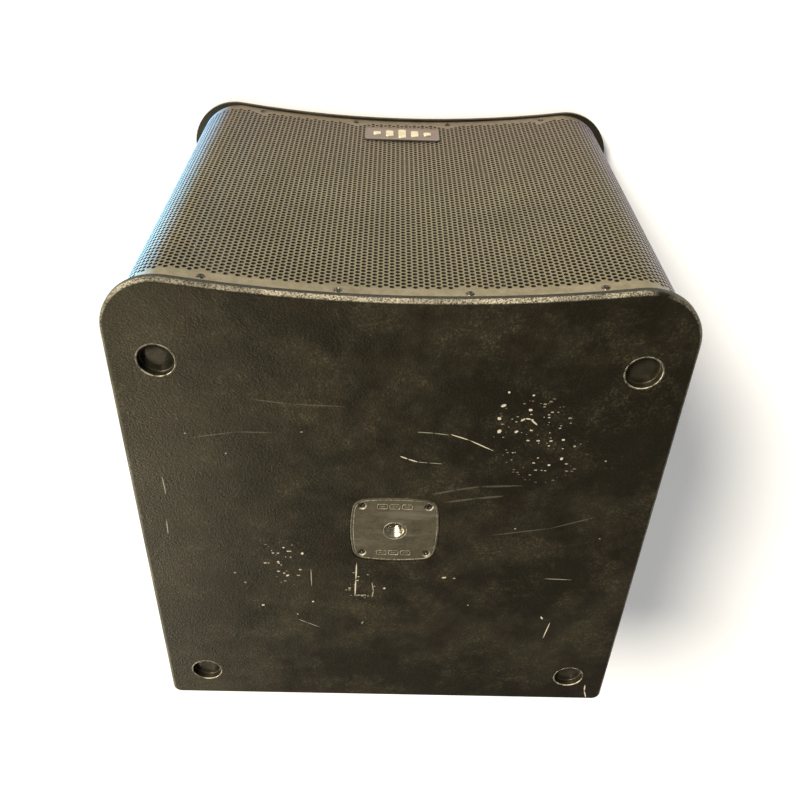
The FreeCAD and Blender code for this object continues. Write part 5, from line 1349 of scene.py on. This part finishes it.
# ---------------------------------------------------------------- frame looks
NODE_LOOKS = {
    "cabinet_paint_top": ["top_panel"],
    "cabinet_paint": ["bottom_panel", "side_panel_left", "side_panel_right", "rear_panel"],
    "inner_ply": ["front_baffle", "port_wall", "window_brace", "grille_rail_top", "grille_rail_bottom"],
    "pan_plastic": ["handle_pan_left", "handle_pan_right"],
    "basket_cast": ["driver_basket"],
    "foot_rubber": ["driver_gasket"],
    "surround_cloth": ["surround"],
    "spider_cloth": ["spider"],
    "cone_paper": ["cone", "dust_cap"],
    "former_film": ["coil_former"],
    "coil_copper": ["coil_winding"],
    "motor_steel": ["front_plate", "back_plate"],
    "ferrite": ["magnet"],
    "terminal_plastic": ["driver_terminals"],
    "panel_sheet": ["amp_panel"],
    "chassis_steel": ["amp_chassis", "potentiometers"],
    "sink_aluminium": ["heat_sink"],
    "board_laminate": ["main_board"],
    "capacitor_sleeve": ["capacitors"],
    "transformer_wrap": ["transformer"],
    "socket_plastic": [
        "input_sockets", "output_sockets", "mains_inlet",
        "switch_bezel", "polarity_switch", "polarity_slider",
    ],
    "latch_metal": ["latch_input_one", "latch_input_two"],
    "rocker_plastic": ["power_rocker"],
    "light_lens": ["status_lights"],
    "fan_plastic": ["fan_frame", "fan_impeller"],
    "guard_wire": ["fan_guard"],
}


def dress_frame(looks):
    """Give the CAD's own nodes their finishes."""
    for look, names in NODE_LOOKS.items():
        for name in names:
            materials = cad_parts[name].data.materials
            materials.clear()
            materials.append(looks[look])


# ---------------------------------------------------------------- stage, lights and camera
def build_stage():
    """A large pale floor."""
    bpy.ops.mesh.primitive_plane_add(size=14, location=(0, 0, -0.0002))
    floor = bpy.context.object
    floor.name = "floor"
    s = Surface("pale_floor", Roughness=0.9, Specular_IOR_Level=0.1)
    cloud = s.span(s.noise(0.8, 3), 0.3, 0.7)
    s.set("Base Color", s.mix(cloud, (0.86, 0.86, 0.86), (0.90, 0.90, 0.90)))
    floor.data.materials.append(s.material)
    floor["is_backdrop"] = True
    return floor


def add_lamp(name, kind, place, aim, power, colour, **settings):
    """A lamp whose light runs against the vector `aim`."""
    data = bpy.data.lights.new(name, kind)
    for key, value in settings.items():
        setattr(data, key, value)
    data.energy = power
    data.color = colour
    lamp = bpy.data.objects.new(name, data)
    bpy.context.scene.collection.objects.link(lamp)
    lamp.location = place
    lamp.rotation_euler = aim.to_track_quat("Z", "Y").to_euler()
    return lamp


def add_light(name, place, target, size, power, colour):
    """A rectangular lamp at a place, turned to a target."""
    place = Vector(place)
    sizes = {"size": size[0], "size_y": size[1]}
    return add_lamp(name, "AREA", place, place - Vector(target), power, colour, shape="RECTANGLE", **sizes)


def add_sun(name, direction, strength, spread, colour=(1, 1, 1)):
    """Even light from a direction; its spread in degrees softens the shadow's edge."""
    aim = Vector(direction).normalized()
    return add_lamp(name, "SUN", aim * 3, aim, strength, colour, angle=math.radians(spread))


def build_lights(floor):
    """A key sun, soft lamps on the object, coloured lamps on the grille's ends and light on the floor."""
    world = bpy.data.worlds.new("soft_room")
    bpy.context.scene.world = world
    world.use_nodes = True
    background = world.node_tree.nodes["Background"]
    background.inputs["Color"].default_value = (1.0, 0.99, 0.97, 1)
    background.inputs["Strength"].default_value = 0.20
    add_sun("key", (0.46, -0.64, 0.552), 5.6, 18, WARM_LAMP)
    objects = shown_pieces()
    soft = [
        add_light("side_soft", (2.5, -1.4, 1.6), (0.1, -0.2, 0.3), (1.0, 1.0), 45, WARM_LAMP),
        add_light("rear_soft", (1.6, 1.56, 1.8), (0.1, 0, 0.5), (1.2, 1.2), 48, (1.0, 0.93, 0.76)),
    ]
    light_only(soft, objects, "object_pieces")
    # Coloured light grazes the grille's two bent corners.
    grille = [item for item in objects if item.name.startswith("grille_sheet")]
    grazing = []
    for name, side, power, colour in (
        ("cool_side", 1, 1900, (0.15, 0.45, 1.0)),
        ("dusk_side", -1, 260, (0.42, 0.46, 1.0)),
    ):
        place, target = (side * 2.3, 0.15, 0.4), (side * 0.3, -0.31, 0.3)
        grazing.append(add_light(name, place, target, (0.5, 0.9), power, colour))
    light_only(grazing, grille, "grille_corners")
    # Light from straight above keeps the floor pale beside the object.
    light_only([add_sun("floor_light", (0, 0, 1), 0.86, 12)], [floor], "floor_only")


def light_only(lamps, items, name):
    """Let lamps light nothing but the given items."""
    group = bpy.data.collections.new(name)
    for item in items:
        group.objects.link(item)
    for lamp in lamps:
        lamp.light_linking.receiver_collection = group


def build_camera():
    """The view from above the grille's upper edge, upside down, as the photograph shows the cabinet."""
    data = bpy.data.cameras.new("camera")
    data.sensor_width = 36
    data.lens = 38.4854
    data.shift_x = 0.00244
    data.shift_y = -0.00360
    camera = bpy.data.objects.new("camera", data)
    bpy.context.scene.collection.objects.link(camera)
    right = Vector((-0.999488, -0.031983, 0.000028)).normalized()
    up = Vector((0.025581, -0.799933, -0.599544))
    up = (up - up.dot(right) * right).normalized()
    back = right.cross(up)
    turn = Matrix((right, up, back)).transposed().to_4x4()
    camera.matrix_world = Matrix.Translation((0.01983, -0.75673, 1.29029)) @ turn
    bpy.context.scene.camera = camera


def main():
    looks = make_materials()
    for build in (
        dress_frame, build_grille, build_screws, build_pole_plate, build_cups,
        build_feet, build_badge, build_grips, build_dials,
    ):
        build(looks)
    build_lights(build_stage())
    build_camera()
    scene = bpy.context.scene
    scene.view_settings.view_transform = "Standard"
    scene.view_settings.look = "None"


main()
